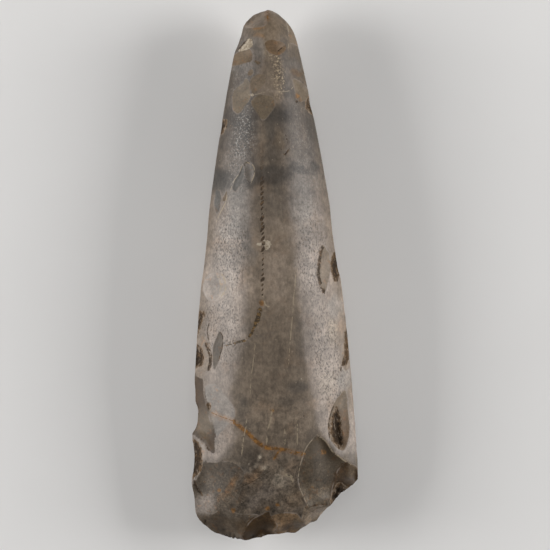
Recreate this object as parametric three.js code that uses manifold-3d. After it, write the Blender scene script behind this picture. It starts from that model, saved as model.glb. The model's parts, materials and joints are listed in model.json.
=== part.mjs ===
// A polished flint axe head: one piece of stone, ground to shape and then chipped in use.
// It lies on its under face. +Y runs to the butt, -Y to the cutting edge and +Z up, in millimetres.
// The origin is at the middle of its bounding box's base, on the flat that it rests on.

import * as THREE from "three";
import { mergeVertices } from "three/addons/utils/BufferGeometryUtils.js";
import Module from "manifold-3d";

const wasm = await Module();
wasm.setup();

// Driving dimensions of the ground blank
const length = 212; // butt tip to the foremost point of the cutting edge
const buttWidth = 23.2; // where the rounded butt meets the sides
const middleWidth = 55.8; // half way from there to the cutting edge
const bladeWidth = 66;
const buttRound = 12; // length of the rounded butt end
const thickness = 37;
const thickestAt = 110; // from the butt tip
const buttThickness = 17;
const bladeThickness = 10; // of the blank at the cutting edge, before flakes left it
const bladeTaper = 2.5; // power of the curve from the thickest place to the cutting edge
const crown = 2.4; // power of the broad faces' curve: higher is flatter in the middle
const sideHeight = 4.4; // of the narrow ground sides
const sideBulge = 0.5;
const edgeSweep = 11; // how far the cutting edge runs back at its corners
const sweepLength = 60; // of the blade end whose sections bow with the cutting edge
const bellyFlat = 0.7; // depth of the flat ground on the under face
const edgeLand = 0.8; // half the thickness that the flakes leave at the cutting edge
const sideLand = 1.8; // and at the sides

// Fineness of the mesh
const buttStations = 6;
const sideStations = 44;
const spacesAcross = 22;
const scarFacet = 2.8; // wished edge length on a flake scar

// Faces and sides of the stone, as the sign of Z or X
const UPPER = 1;
const UNDER = -1;
const LEFT = -1;
const RIGHT = 1;

// Scars are shallow bowls. Their sizes are in millimetres and their angles in degrees.
// Places are shares: along is of the length from the butt tip, and across of the half width.

// Flakes struck from the cutting edge. Heading is the way the flake ran in plan: 0 is to the butt, 90 to +X.
const edgeFlakes = [
  { face: UPPER, across: 0.62, heading: -20, long: 27, wide: 18, deep: 1.3 },
  { face: UPPER, across: 0.7, heading: -50, long: 12, wide: 11, deep: 0.7 },
  { face: UPPER, across: 0.52, heading: -40, long: 10, wide: 10, deep: 0.5 },
  { face: UPPER, across: -0.9, heading: 34, long: 24, wide: 20, deep: 0.25 },
  { face: UPPER, across: -0.86, heading: 30, long: 9, wide: 12, deep: 0.2 },
  { face: UPPER, across: -0.6, heading: 8, long: 10.5, wide: 19, deep: 0.3 },
  { face: UPPER, across: 0.38, heading: -12, long: 8, wide: 9, deep: 0.5 },
  { face: UPPER, across: 0.2, heading: 4, long: 9, wide: 12, deep: 0.7 },
  { face: UPPER, across: -0.2, heading: 4, long: 11.5, wide: 12.5, deep: 0.9 },
  { face: UNDER, across: 0.72, heading: -30, long: 24, wide: 13, deep: 0.6 },
  { face: UNDER, across: 0.6, heading: -22, long: 26, wide: 20, deep: 1 },
  { face: UNDER, across: -0.8, heading: 30, long: 19, wide: 18, deep: 0.6 },
  { face: UNDER, across: -0.42, heading: 10, long: 17, wide: 17, deep: 0.9 },
  { face: UNDER, across: 0.1, heading: -4, long: 20, wide: 19, deep: 1 },
  { face: UNDER, across: 0.32, heading: -14, long: 12, wide: 12, deep: 0.7 },
];

// Flakes struck from the sides, mostly near the butt, which was never ground smooth
const sideFlakes = [
  { face: UPPER, side: LEFT, along: 0.02, heading: 75, long: 11, wide: 11, deep: 0.4 },
  { face: UPPER, side: RIGHT, along: 0.018, heading: -80, long: 9, wide: 10, deep: 0.3 },
  { face: UPPER, side: LEFT, along: 0.074, heading: 85, long: 6.5, wide: 17, deep: 0.4 },
  { face: UPPER, side: RIGHT, along: 0.075, heading: -80, long: 8, wide: 15, deep: 0.2 },
  { face: UPPER, side: LEFT, along: 0.142, heading: 70, long: 7, wide: 13, deep: 0.4 },
  { face: UPPER, side: RIGHT, along: 0.168, heading: -75, long: 9.5, wide: 14, deep: 0.6 },
  { face: UNDER, side: LEFT, along: 0.03, heading: 80, long: 12, wide: 14, deep: 0.8 },
  { face: UNDER, side: RIGHT, along: 0.03, heading: -100, long: 12, wide: 13, deep: 0.6 },
  { face: UNDER, side: LEFT, along: 0.08, heading: 95, long: 13, wide: 15, deep: 0.7 },
  { face: UNDER, side: RIGHT, along: 0.105, heading: -80, long: 14, wide: 16, deep: 0.8 },
  { face: UNDER, side: LEFT, along: 0.15, heading: 75, long: 12, wide: 15, deep: 0.7 },
  { face: UNDER, side: RIGHT, along: 0.19, heading: -95, long: 11, wide: 17, deep: 0.7 },
  { face: UNDER, side: LEFT, along: 0.24, heading: 90, long: 9, wide: 16, deep: 0.6 },
  { face: UNDER, side: RIGHT, along: 0.44, heading: -85, long: 9, wide: 18, deep: 0.7 },
  { face: UNDER, side: LEFT, along: 0.56, heading: 80, long: 10, wide: 17, deep: 0.5 },
  { face: UNDER, side: RIGHT, along: 0.74, heading: -95, long: 13, wide: 20, deep: 0.9 },
  { face: UNDER, side: LEFT, along: 0.84, heading: 90, long: 12, wide: 18, deep: 0.8 },
];

// Scars that grinding left standing by themselves on the broad faces.
// Their long axis lies along the stone until turn swings its blade end to +X.
const faceScars = [
  { face: UPPER, along: 0.068, across: -0.68, long: 6, wide: 7, deep: 0.7, turn: 30 },
  { face: UPPER, along: 0.077, across: 0.26, long: 8, wide: 10.5, deep: 0.9 },
  { face: UPPER, along: 0.095, across: -0.62, long: 6.6, wide: 7.4, deep: 0.5, turn: 10 },
  { face: UPPER, along: 0.124, across: -0.42, long: 3, wide: 2.6, deep: 0.4 },
  { face: UPPER, along: 0.134, across: 0.24, long: 17, wide: 5, deep: 0.4, turn: -4 },
  { face: UPPER, along: 0.143, across: -0.24, long: 8.8, wide: 6.4, deep: 0.5, turn: 20 },
  { face: UPPER, along: 0.167, across: -0.63, long: 14, wide: 7.2, deep: 0.9, turn: 10 },
  { face: UPPER, along: 0.182, across: -0.06, long: 8, wide: 10, deep: 0.6 },
  { face: UPPER, along: 0.2, across: -0.12, long: 8, wide: 6, deep: 0.6, turn: -10 },
  { face: UPPER, along: 0.306, across: -0.36, long: 7.6, wide: 3.9, deep: 0.45, turn: 8 },
  { face: UPPER, along: 0.326, across: -0.54, long: 10, wide: 3.6, deep: 0.45, turn: 24 },
  { face: UPPER, along: 0.353, across: -0.74, long: 4, wide: 2.4, deep: 0.5, turn: 25 },
  { face: UPPER, along: 0.365, across: -0.87, long: 9, wide: 5, deep: 0.5, turn: 12 },
  { face: UPPER, along: 0.5, across: -0.72, long: 9.5, wide: 6, deep: 0.3, turn: 18 },
  { face: UPPER, along: 0.487, across: 0.745, long: 20, wide: 5.4, deep: 0.8, turn: 4 },
  { face: UPPER, along: 0.642, across: -0.71, long: 15.5, wide: 4, deep: 0.8, turn: 8 },
  { face: UPPER, along: 0.742, across: -0.64, long: 17, wide: 12, deep: 0.8, turn: 12 },
  { face: UNDER, along: 0.3, across: 0.42, long: 12, wide: 8, deep: 0.5, turn: -20 },
  { face: UNDER, along: 0.38, across: -0.66, long: 15, wide: 8, deep: 0.6, turn: 15 },
  { face: UNDER, along: 0.62, across: 0.64, long: 16, wide: 9, deep: 0.7, turn: -10 },
  { face: UNDER, along: 0.72, across: -0.6, long: 17, wide: 11, deep: 0.8, turn: -14 },
];

// Chips and old hollows along the two sides, placed as the face scars are
const sideHollows = [
  { face: UPPER, along: 0.184, across: 0.98, long: 6.5, wide: 4, deep: 1.1 },
  { face: UPPER, along: 0.221, across: -0.95, long: 6.5, wide: 3.6, deep: 0.9 },
  { face: UPPER, along: 0.478, across: 0.93, long: 9, wide: 3.6, deep: 1.1, turn: -10 },
  { face: UPPER, along: 0.502, across: 0.95, long: 6, wide: 4, deep: 1.2, turn: 20 },
  { face: UPPER, along: 0.598, across: -0.94, long: 12, wide: 2.6, deep: 0.6, turn: 10 },
  { face: UPPER, along: 0.65, across: -0.95, long: 9, wide: 7, deep: 1.6, turn: 8 },
  { face: UPPER, along: 0.655, across: -0.83, long: 9.5, wide: 2.6, deep: 0.8, turn: 12 },
  { face: UPPER, along: 0.652, across: 0.95, long: 15, wide: 4, deep: 1.1, turn: -6 },
  { face: UPPER, along: 0.735, across: -0.94, long: 14, wide: 8, deep: 1 },
  { face: UPPER, along: 0.776, across: 0.8, long: 23, wide: 12, deep: 2, turn: -4 },
  { face: UPPER, along: 0.79, across: 0.78, long: 10, wide: 4, deep: 3, turn: 6 },
  { face: UPPER, along: 0.805, across: -0.9, long: 12, wide: 10, deep: 1.2, turn: -15 },
  { face: UPPER, along: 0.845, across: -0.97, long: 14, wide: 7, deep: 2, turn: 5 },
  { face: UPPER, along: 0.905, across: -0.96, long: 7, wide: 4, deep: 1, turn: 25 },
  { face: UNDER, along: 0.33, across: 0.94, long: 10, wide: 5, deep: 0.9 },
  { face: UNDER, along: 0.66, across: 0.93, long: 12, wide: 6, deep: 1.1, turn: 6 },
];

// Bites out of the sides, placed as the hollows are. High is their size through the thickness.
const sideNotches = [
  { side: LEFT, along: 0.05, long: 17, high: 13, deep: 1.5 },
  { side: LEFT, along: 0.22, long: 6, high: 6, deep: 0.5 },
  { side: RIGHT, along: 0.18, long: 8, high: 6, deep: 0.7 },
  { side: LEFT, along: 0.45, long: 34, high: 12, deep: 0.7 },
  { side: RIGHT, along: 0.44, long: 34, high: 14, deep: 1 },
  { side: RIGHT, along: 0.482, long: 8, high: 7, deep: 1.4 },
  { side: LEFT, along: 0.73, long: 16, high: 8, deep: 1 },
  { side: LEFT, along: 0.768, long: 14, high: 11, deep: 3.2 },
  { side: LEFT, along: 0.875, long: 18, high: 9, deep: 1.4 },
];

// The broken cutting edge in plan, from the left corner to the right.
// Each point has its share of the half width, and how far it stands back from the foremost point.
// The stone between two points was bitten away to the depth given with the second one.
const brokenEdge = [
  { across: -1, back: 22, bite: 0 },
  { across: -0.976, back: 12.9, bite: 0.3 },
  { across: -0.918, back: 8.1, bite: -0.3 },
  { across: -0.752, back: 3.2, bite: 0.1 },
  { across: -0.606, back: 1.9, bite: 0.2 },
  { across: -0.536, back: 0.7, bite: 0 },
  { across: -0.342, back: 0, bite: 0.2 },
  { across: -0.158, back: 1.6, bite: 0.2 },
  { across: -0.024, back: 2.3, bite: 0.3 },
  { across: 0.23, back: 2.6, bite: 0.4 },
  { across: 0.327, back: 4.9, bite: -0.2 },
  { across: 0.5, back: 7.2, bite: 0.5 },
  { across: 0.548, back: 9.6, bite: 0.3 },
  { across: 0.685, back: 14.3, bite: 0.1 },
  { across: 0.81, back: 19, bite: -0.3 },
  { across: 0.918, back: 21.4, bite: -0.6 },
  { across: 0.994, back: 23.7, bite: -0.5 },
];

// Half the width of the blank at a distance from the butt tip.
function halfWidth(distance) {
  const t = (distance - buttRound) / (length - buttRound);
  const bend = 2 * (buttWidth - 2 * middleWidth + bladeWidth);
  const side = buttWidth + (bladeWidth - buttWidth - bend) * t + bend * t * t;
  return (side / 2) * roundedButt(distance);
}

// A quarter of an ellipse, from 0 at the butt tip to 1 where the sides begin.
function roundedButt(distance) {
  if (distance >= buttRound) return 1;
  return Math.sqrt(1 - (1 - distance / buttRound) ** 2);
}

// Half the thickness of the blank on its centre line.
function halfThickness(distance) {
  if (distance > thickestAt) {
    const t = (distance - thickestAt) / (length - thickestAt);
    return (thickness - (thickness - bladeThickness) * t ** bladeTaper) / 2;
  }
  const t = 1 - distance / thickestAt;
  return ((thickness - (thickness - buttThickness) * t * t) / 2) * roundedButt(distance);
}

// A point on the blank's broad face. Share runs from -1 to 1 across it.
function faceMiddle(distance, share, face) {
  const middle = halfThickness(distance);
  const rim = (sideHeight / 2) * roundedButt(distance);
  const z = rim + (middle - rim) * (1 - Math.abs(share) ** crown);
  return new THREE.Vector3(share * halfWidth(distance), -sweptDistance(distance, share), face * z);
}

// Sections near the blade bow with the cutting edge, whose corners run back.
function sweptDistance(distance, share) {
  const sweep = THREE.MathUtils.smoothstep(distance, length - sweepLength, length);
  return distance - edgeSweep * share ** 4 * sweep;
}

// Turns a closed geometry into a solid.
function solid(geometry) {
  const bare = geometry.clone().deleteAttribute("normal").deleteAttribute("uv");
  const merged = mergeVertices(bare, 1e-4);
  return new wasm.Manifold(
    new wasm.Mesh({
      numProp: 3,
      vertProperties: new Float32Array(merged.attributes.position.array),
      triVerts: new Uint32Array(merged.index.array),
    }),
  );
}

// One section of the blank: the upper face from left to right, a side, the under face back, a side.
function section(distance) {
  const ring = [];
  const shares = Array.from({ length: spacesAcross + 1 }, (_, i) => (2 * i) / spacesAcross - 1);
  for (const share of shares) ring.push(faceMiddle(distance, share, UPPER));
  ring.push(sidePoint(distance, 1));
  for (const share of shares.toReversed()) ring.push(faceMiddle(distance, share, UNDER));
  ring.push(sidePoint(distance, -1));
  return ring;
}

// The middle of a narrow side, which bulges a little.
function sidePoint(distance, side) {
  const point = faceMiddle(distance, side, UPPER);
  return point.set(point.x + side * sideBulge * roundedButt(distance), point.y, 0);
}

// Distances from the butt tip at which the blank has a section.
function stations() {
  const places = [];
  for (let i = 1; i <= buttStations; i++) {
    places.push(buttRound * (1 - Math.cos((Math.PI / 2) * (i / buttStations))));
  }
  for (let i = 1; i <= sideStations; i++) {
    places.push(buttRound + (length - buttRound) * (i / sideStations));
  }
  return places;
}

// The ground blank, lofted through its sections from the butt tip to the cutting edge.
function groundBlank() {
  const rings = stations().map(section);
  const around = rings[0].length;
  const points = [new THREE.Vector3(0, 0, 0), ...rings.flat()];
  const faces = [];
  for (let i = 0; i < around; i++) {
    const next = (i + 1) % around;
    faces.push(0, 1 + i, 1 + next);
    for (let ring = 0; ring + 1 < rings.length; ring++) {
      const near = 1 + ring * around;
      const far = near + around;
      faces.push(near + i, far + i, far + next, near + i, far + next, near + next);
    }
  }
  faces.push(...bladeEnd(1 + (rings.length - 1) * around, around));
  const geometry = new THREE.BufferGeometry().setFromPoints(points);
  geometry.setIndex(faces);
  return solid(geometry);
}

// Closes the blade end between the last section's upper and under face.
function bladeEnd(first, around) {
  const faces = [];
  const half = around / 2;
  const upper = (i) => first + i;
  const under = (i) => first + around - 2 - i;
  for (let i = 0; i < half - 1; i++) {
    faces.push(upper(i), under(i), under(i + 1), upper(i), under(i + 1), upper(i + 1));
  }
  faces.push(upper(0), first + around - 1, under(0));
  faces.push(upper(half - 1), under(half - 1), first + half);
  return faces;
}

// A scar's cutter: a bowl of its width and depth that stands on Y, stretched to its length.
// Reach is how far the bowl goes on above its rim, to take off all the stone that bulges there.
function bowl({ long, wide, deep, reach = 3 }) {
  const radius = ((wide / 2) ** 2 + deep ** 2) / (2 * deep);
  const rim = Math.acos(1 - Math.min(deep + reach, radius) / radius);
  const rings = THREE.MathUtils.clamp(Math.round((radius * rim) / scarFacet), 2, 7);
  const round = THREE.MathUtils.clamp(Math.round(((long + wide) * Math.PI) / 2 / scarFacet), 9, 26);
  const profile = [];
  for (let i = 0; i <= rings; i++) {
    const angle = (rim * i) / rings;
    profile.push(new THREE.Vector2(radius * Math.sin(angle), radius * (1 - Math.cos(angle)) - deep));
  }
  profile[0].x = 0;
  profile.push(new THREE.Vector2(0, profile.at(-1).y));
  return new THREE.LatheGeometry(profile, round).scale(1, 1, long / wide);
}

// Stands a cutter at a place: its Z towards front, and its Y as near to outward as that leaves.
function standing(place, front, outward) {
  const forward = front.clone().normalize();
  const right = new THREE.Vector3().crossVectors(outward, forward).normalize();
  const up = new THREE.Vector3().crossVectors(forward, right);
  return new THREE.Matrix4().makeBasis(right, up, forward).setPosition(place);
}

// The cutter of a scar that stands by itself on a face, sunk square to the surface.
function faceCutter(scar) {
  const { face, along, across, turn = 0 } = scar;
  const place = faceMiddle(along * length, across, face);
  const outward = outwardAt(place, face);
  const angle = THREE.MathUtils.degToRad(turn);
  const front = new THREE.Vector3(Math.sin(angle), -Math.cos(angle), 0).projectOnPlane(outward);
  return bowl(scar).applyMatrix4(standing(place, front, outward));
}

// The cutter of a flake that ran in from the point struck. Its rim passes through four points:
// the point struck, the place on the face where the flake ran out, and the face on either side.
function flakeCutter(flake, struck) {
  const { face, heading, long, wide, deep } = flake;
  const angle = THREE.MathUtils.degToRad(heading);
  const run = new THREE.Vector3(Math.sin(angle), Math.cos(angle), 0);
  const beside = new THREE.Vector3(run.y, -run.x, 0).multiplyScalar(wide / 2);
  const end = faceAt(struck.clone().addScaledVector(run, long), face);
  const half = struck.clone().addScaledVector(run, long / 2);
  const right = faceAt(half.clone().add(beside), face).sub(faceAt(half.clone().sub(beside), face));
  const front = struck.clone().sub(end);
  const outward = new THREE.Vector3().crossVectors(front, right);
  outward.multiplyScalar(face * Math.sign(outward.z));
  const pastMiddle = 0.6;
  const place = end.clone().addScaledVector(front, 1 / (1 + pastMiddle));
  const size = { long: (2 * front.length()) / (1 + pastMiddle), wide, deep, reach: thickness / 2 };
  return bowl(size).applyMatrix4(standing(place, front, outward));
}

// The cutter of a bite out of a side, sunk level into its middle.
function notchCutter({ side, along, long, high, deep }) {
  const distance = along * length;
  const place = sidePoint(distance, side);
  const front = sidePoint(distance + 1, side).sub(sidePoint(distance - 1, side));
  const outward = new THREE.Vector3(side, 0, 0);
  return bowl({ long, wide: high, deep }).applyMatrix4(standing(place, front, outward));
}

// The square way out of a face at a point on it.
function outwardAt(point, face) {
  const step = 0.5;
  const across = new THREE.Vector3(step, 0, 0);
  const along = new THREE.Vector3(0, step, 0);
  const slopeAcross = faceAt(point.clone().add(across), face).sub(faceAt(point.clone().sub(across), face));
  const slopeAlong = faceAt(point.clone().add(along), face).sub(faceAt(point.clone().sub(along), face));
  const outward = slopeAcross.cross(slopeAlong).normalize();
  return outward.multiplyScalar(face * Math.sign(outward.z));
}

// The point of a face straight above or below a point, or the face's nearest rim beyond it.
function faceAt(point, face) {
  let distance = -point.y;
  let share = 0;
  for (let pass = 0; pass < 6; pass++) {
    distance = THREE.MathUtils.clamp(distance, 1, length);
    share = THREE.MathUtils.clamp(point.x / halfWidth(distance), -1, 1);
    distance += -point.y - sweptDistance(distance, share);
  }
  return faceMiddle(THREE.MathUtils.clamp(distance, 1, length), share, face);
}

// The point of the cutting edge that was struck to take a flake off a face.
function struckEdge({ face, across, deep }) {
  const next = brokenEdge.findIndex((point) => point.across >= across);
  const [from, to] = [brokenEdge[next - 1], brokenEdge[next]];
  const back = THREE.MathUtils.mapLinear(across, from.across, to.across, from.back, to.back);
  return new THREE.Vector3((across * bladeWidth) / 2, back - length, face * (edgeLand + deep / 2));
}

// The point of a side that was struck.
function struckSide({ face, side, along, deep }) {
  const distance = along * length;
  return new THREE.Vector3(side * halfWidth(distance), -distance, face * (sideLand + deep / 2));
}

// The stone that stays, in plan, as a prism through the whole thickness.
function planPrism() {
  const half = bladeWidth / 2;
  const outside = 2 * half;
  const foremost = -length;
  const points = brokenEdge.map(({ across, back }) => new THREE.Vector2(across * half, foremost + back));
  const shape = new THREE.Shape();
  shape.moveTo(-outside, buttRound);
  shape.lineTo(-outside, points[0].y);
  shape.lineTo(points[0].x, points[0].y);
  for (let i = 1; i < points.length; i++) {
    const middle = points[i].clone().add(points[i - 1]).multiplyScalar(0.5);
    const run = points[i].clone().sub(points[i - 1]).normalize();
    const inward = new THREE.Vector2(-run.y, run.x).multiplyScalar(2 * brokenEdge[i].bite);
    const pull = middle.add(inward);
    shape.quadraticCurveTo(pull.x, pull.y, points[i].x, points[i].y);
  }
  shape.lineTo(outside, points.at(-1).y);
  shape.lineTo(outside, buttRound);
  const depth = 2 * thickness;
  const prism = new THREE.ExtrudeGeometry(shape, { depth, bevelEnabled: false, curveSegments: 3 });
  return solid(prism.translate(0, 0, -depth / 2));
}

// The grinding that left a narrow flat on the belly, where the stone rests.
function bellySlab() {
  const slab = new THREE.BoxGeometry(2 * bladeWidth, 3 * length, thickness);
  return solid(slab.translate(0, -length / 2, bellyFlat - thickness));
}

// The whole axe head: ground blank, broken edge, belly flat, then every scar.
function axeHead() {
  const cutters = [
    ...sideFlakes.map((flake) => flakeCutter(flake, struckSide(flake))),
    ...edgeFlakes.map((flake) => flakeCutter(flake, struckEdge(flake))),
    ...[...faceScars, ...sideHollows].map(faceCutter),
    ...sideNotches.map(notchCutter),
  ];
  let stone = groundBlank().intersect(planPrism()).subtract(bellySlab());
  for (const cutter of cutters) stone = stone.subtract(solid(cutter));
  const { vertProperties, triVerts } = stone.getMesh();
  const geometry = new THREE.BufferGeometry();
  geometry.setAttribute("position", new THREE.BufferAttribute(vertProperties, 3));
  geometry.setIndex(new THREE.BufferAttribute(triVerts, 1));
  geometry.computeBoundingBox();
  const middle = geometry.boundingBox.getCenter(new THREE.Vector3());
  return geometry.translate(-middle.x, -middle.y, -geometry.boundingBox.min.z);
}

const flint = new THREE.MeshStandardMaterial({ color: 0x8f867c, roughness: 0.45, metalness: 0 });

const part = new THREE.Group();
const stone = new THREE.Mesh(axeHead(), flint);
stone.name = "axe_head";
part.add(stone);

export default part;
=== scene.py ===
"""Dresses a polished flint axe head and lays it on a pale studio floor.

The stone lies on its under face with its butt to +Y and its cutting edge to -Y. Blender's lengths are
metres. Marks on the stone are placed in millimetres: along from the butt tip, and across to +X.
"""

import json
import math
from typing import NamedTuple

import bpy
import numpy as np
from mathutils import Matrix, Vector, noise

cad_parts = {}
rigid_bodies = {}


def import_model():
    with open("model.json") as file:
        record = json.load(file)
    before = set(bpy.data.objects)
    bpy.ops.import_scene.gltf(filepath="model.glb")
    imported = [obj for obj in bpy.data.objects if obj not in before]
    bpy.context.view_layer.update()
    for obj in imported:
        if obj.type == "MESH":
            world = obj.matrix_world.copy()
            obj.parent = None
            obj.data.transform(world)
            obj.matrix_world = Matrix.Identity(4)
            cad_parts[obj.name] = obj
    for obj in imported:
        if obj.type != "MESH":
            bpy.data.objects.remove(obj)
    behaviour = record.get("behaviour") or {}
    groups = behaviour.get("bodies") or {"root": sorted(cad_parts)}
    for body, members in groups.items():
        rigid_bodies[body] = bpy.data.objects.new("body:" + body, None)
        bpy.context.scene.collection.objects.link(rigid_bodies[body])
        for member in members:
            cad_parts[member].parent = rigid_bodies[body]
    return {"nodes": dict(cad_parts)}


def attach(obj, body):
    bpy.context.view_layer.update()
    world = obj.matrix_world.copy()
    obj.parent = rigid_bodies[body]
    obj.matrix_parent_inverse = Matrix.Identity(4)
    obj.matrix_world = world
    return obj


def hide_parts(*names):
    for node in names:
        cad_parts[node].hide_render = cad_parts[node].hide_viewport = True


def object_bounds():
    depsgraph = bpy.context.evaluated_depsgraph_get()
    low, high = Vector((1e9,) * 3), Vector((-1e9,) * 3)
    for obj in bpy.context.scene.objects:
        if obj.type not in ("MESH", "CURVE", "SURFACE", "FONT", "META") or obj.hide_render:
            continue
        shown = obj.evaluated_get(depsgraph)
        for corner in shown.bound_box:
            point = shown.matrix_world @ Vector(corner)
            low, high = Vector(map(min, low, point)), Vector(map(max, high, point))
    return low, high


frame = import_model()
cad_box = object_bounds()

bl_info = {
    "name": "Polished flint axe head",
    "version": (1, 0, 0),
    "blender": (4, 5, 0),
    "location": "View3D > Sidebar > Axe head",
    "description": "Shapes and finishes a polished flint axe head and sets up its studio",
    "category": "Object",
}

MM = 0.001
NODE = "axe_head"
PIECE = "flint_stone"

# The ground blank's sizes, as in the solid, in millimetres
LENGTH = 212.0
BUTT_WIDTH = 23.2
MIDDLE_WIDTH = 55.8
BLADE_WIDTH = 66.0
BUTT_ROUND = 12.0
THICKNESS = 37.0
THICKEST_AT = 110.0
BUTT_THICKNESS = 17.0
BLADE_THICKNESS = 10.0
BLADE_TAPER = 2.5
CROWN = 2.4
SIDE_HEIGHT = 4.4
EDGE_SWEEP = 11.0
SWEEP_LENGTH = 60.0
BELLY_FLAT = 0.7
EDGE_LAND = 0.45
SIDE_LAND = 1.3
BROKEN_FROM = LENGTH - SWEEP_LENGTH / 2

# The distance that stands for every place far from a mark
FAR = 9.0

# How near a line or a rim is looked for, and how far from the stone a point counts as outside it
LINE_REACH = 3.0
RIM_REACH = 2.0
OUTSIDE_BY = 1.0

# The height over the middle plane where the upper face's marks end, where its clouds fade out, and the sway
MARKS_END = -3.0
CLOUDS_END = (-6.0, -1.0)
SWAY = 3.0

# Small bites out of the broken edge, their noise's stretch, and the height of a face below which they are
BITE_DEPTH = 1.0
BITE_SIZE = 1.7
BITE_STRETCH = (1, 0.2, 0.3)
BITTEN_HEIGHT = 2.4

# The upright wall between the faces: past this share of the half width, where a normal rises less than this
WALL_SHARE = 0.9
WALL_RISE = 0.3

# How far from its middle a cut line's bevel starts and ends, and the height of the rough skin's relief
BEVEL = (0.9, 0.1)
SKIN_RELIEF = 0.3

# Where a cloud starts and is full, as shares of its size
CLOUD_FADE = (1.25, 0.45)

# The sides' weathered rim as shares of the half width, how tan it is, and how much painted shade darkens it
# on the left
RIM_ZONE = (0.8, 0.97)
RIM_TAN = 0.5
LEFT_RIM_PAINTED_SHADE = 0.22

# How far past its outline a scar keeps its own colour, for the material to fray
SCAR_MARGIN = 0.6

UPPER = 1
UNDER = -1


class Scar(NamedTuple):
    """A flake scar: how far it is dished, over which width from its outline, and the stone it shows.

    Where a flake ran out at the cutting edge or at a side, the outline passes just outside the stone.
    """

    name: str
    deep: float
    slope: float
    stone: str
    outline: tuple
    face: int = UPPER


class Pocket(NamedTuple):
    """A hollow that keeps the flint's old rough skin: how far it is sunk, and over which width."""

    name: str
    deep: float
    slope: float
    outline: tuple
    face: int = UPPER


class Moved(NamedTuple):
    """A scar or pocket of the upper face used again on the under face, with its middle, turn and size."""

    name: str
    along: float
    across: float
    turn: float
    size: float


class Trail(NamedTuple):
    """A line in the stone: its kind, half its width, how deep it is cut, and its points."""

    kind: str
    half: float
    cut: float
    points: tuple


class Cloud(NamedTuple):
    """A soft patch of one stone in another, with its half length, half width and turn in degrees."""

    stone: str
    amount: float
    along: float
    across: float
    long: float
    wide: float
    turn: float = 0.0


def make_clouds(*rows):
    """Clouds from rows of their values."""
    return [Cloud(*row) for row in rows]


# Every outline and line is a smooth curve through a few points, each along and across in millimetres.

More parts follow.
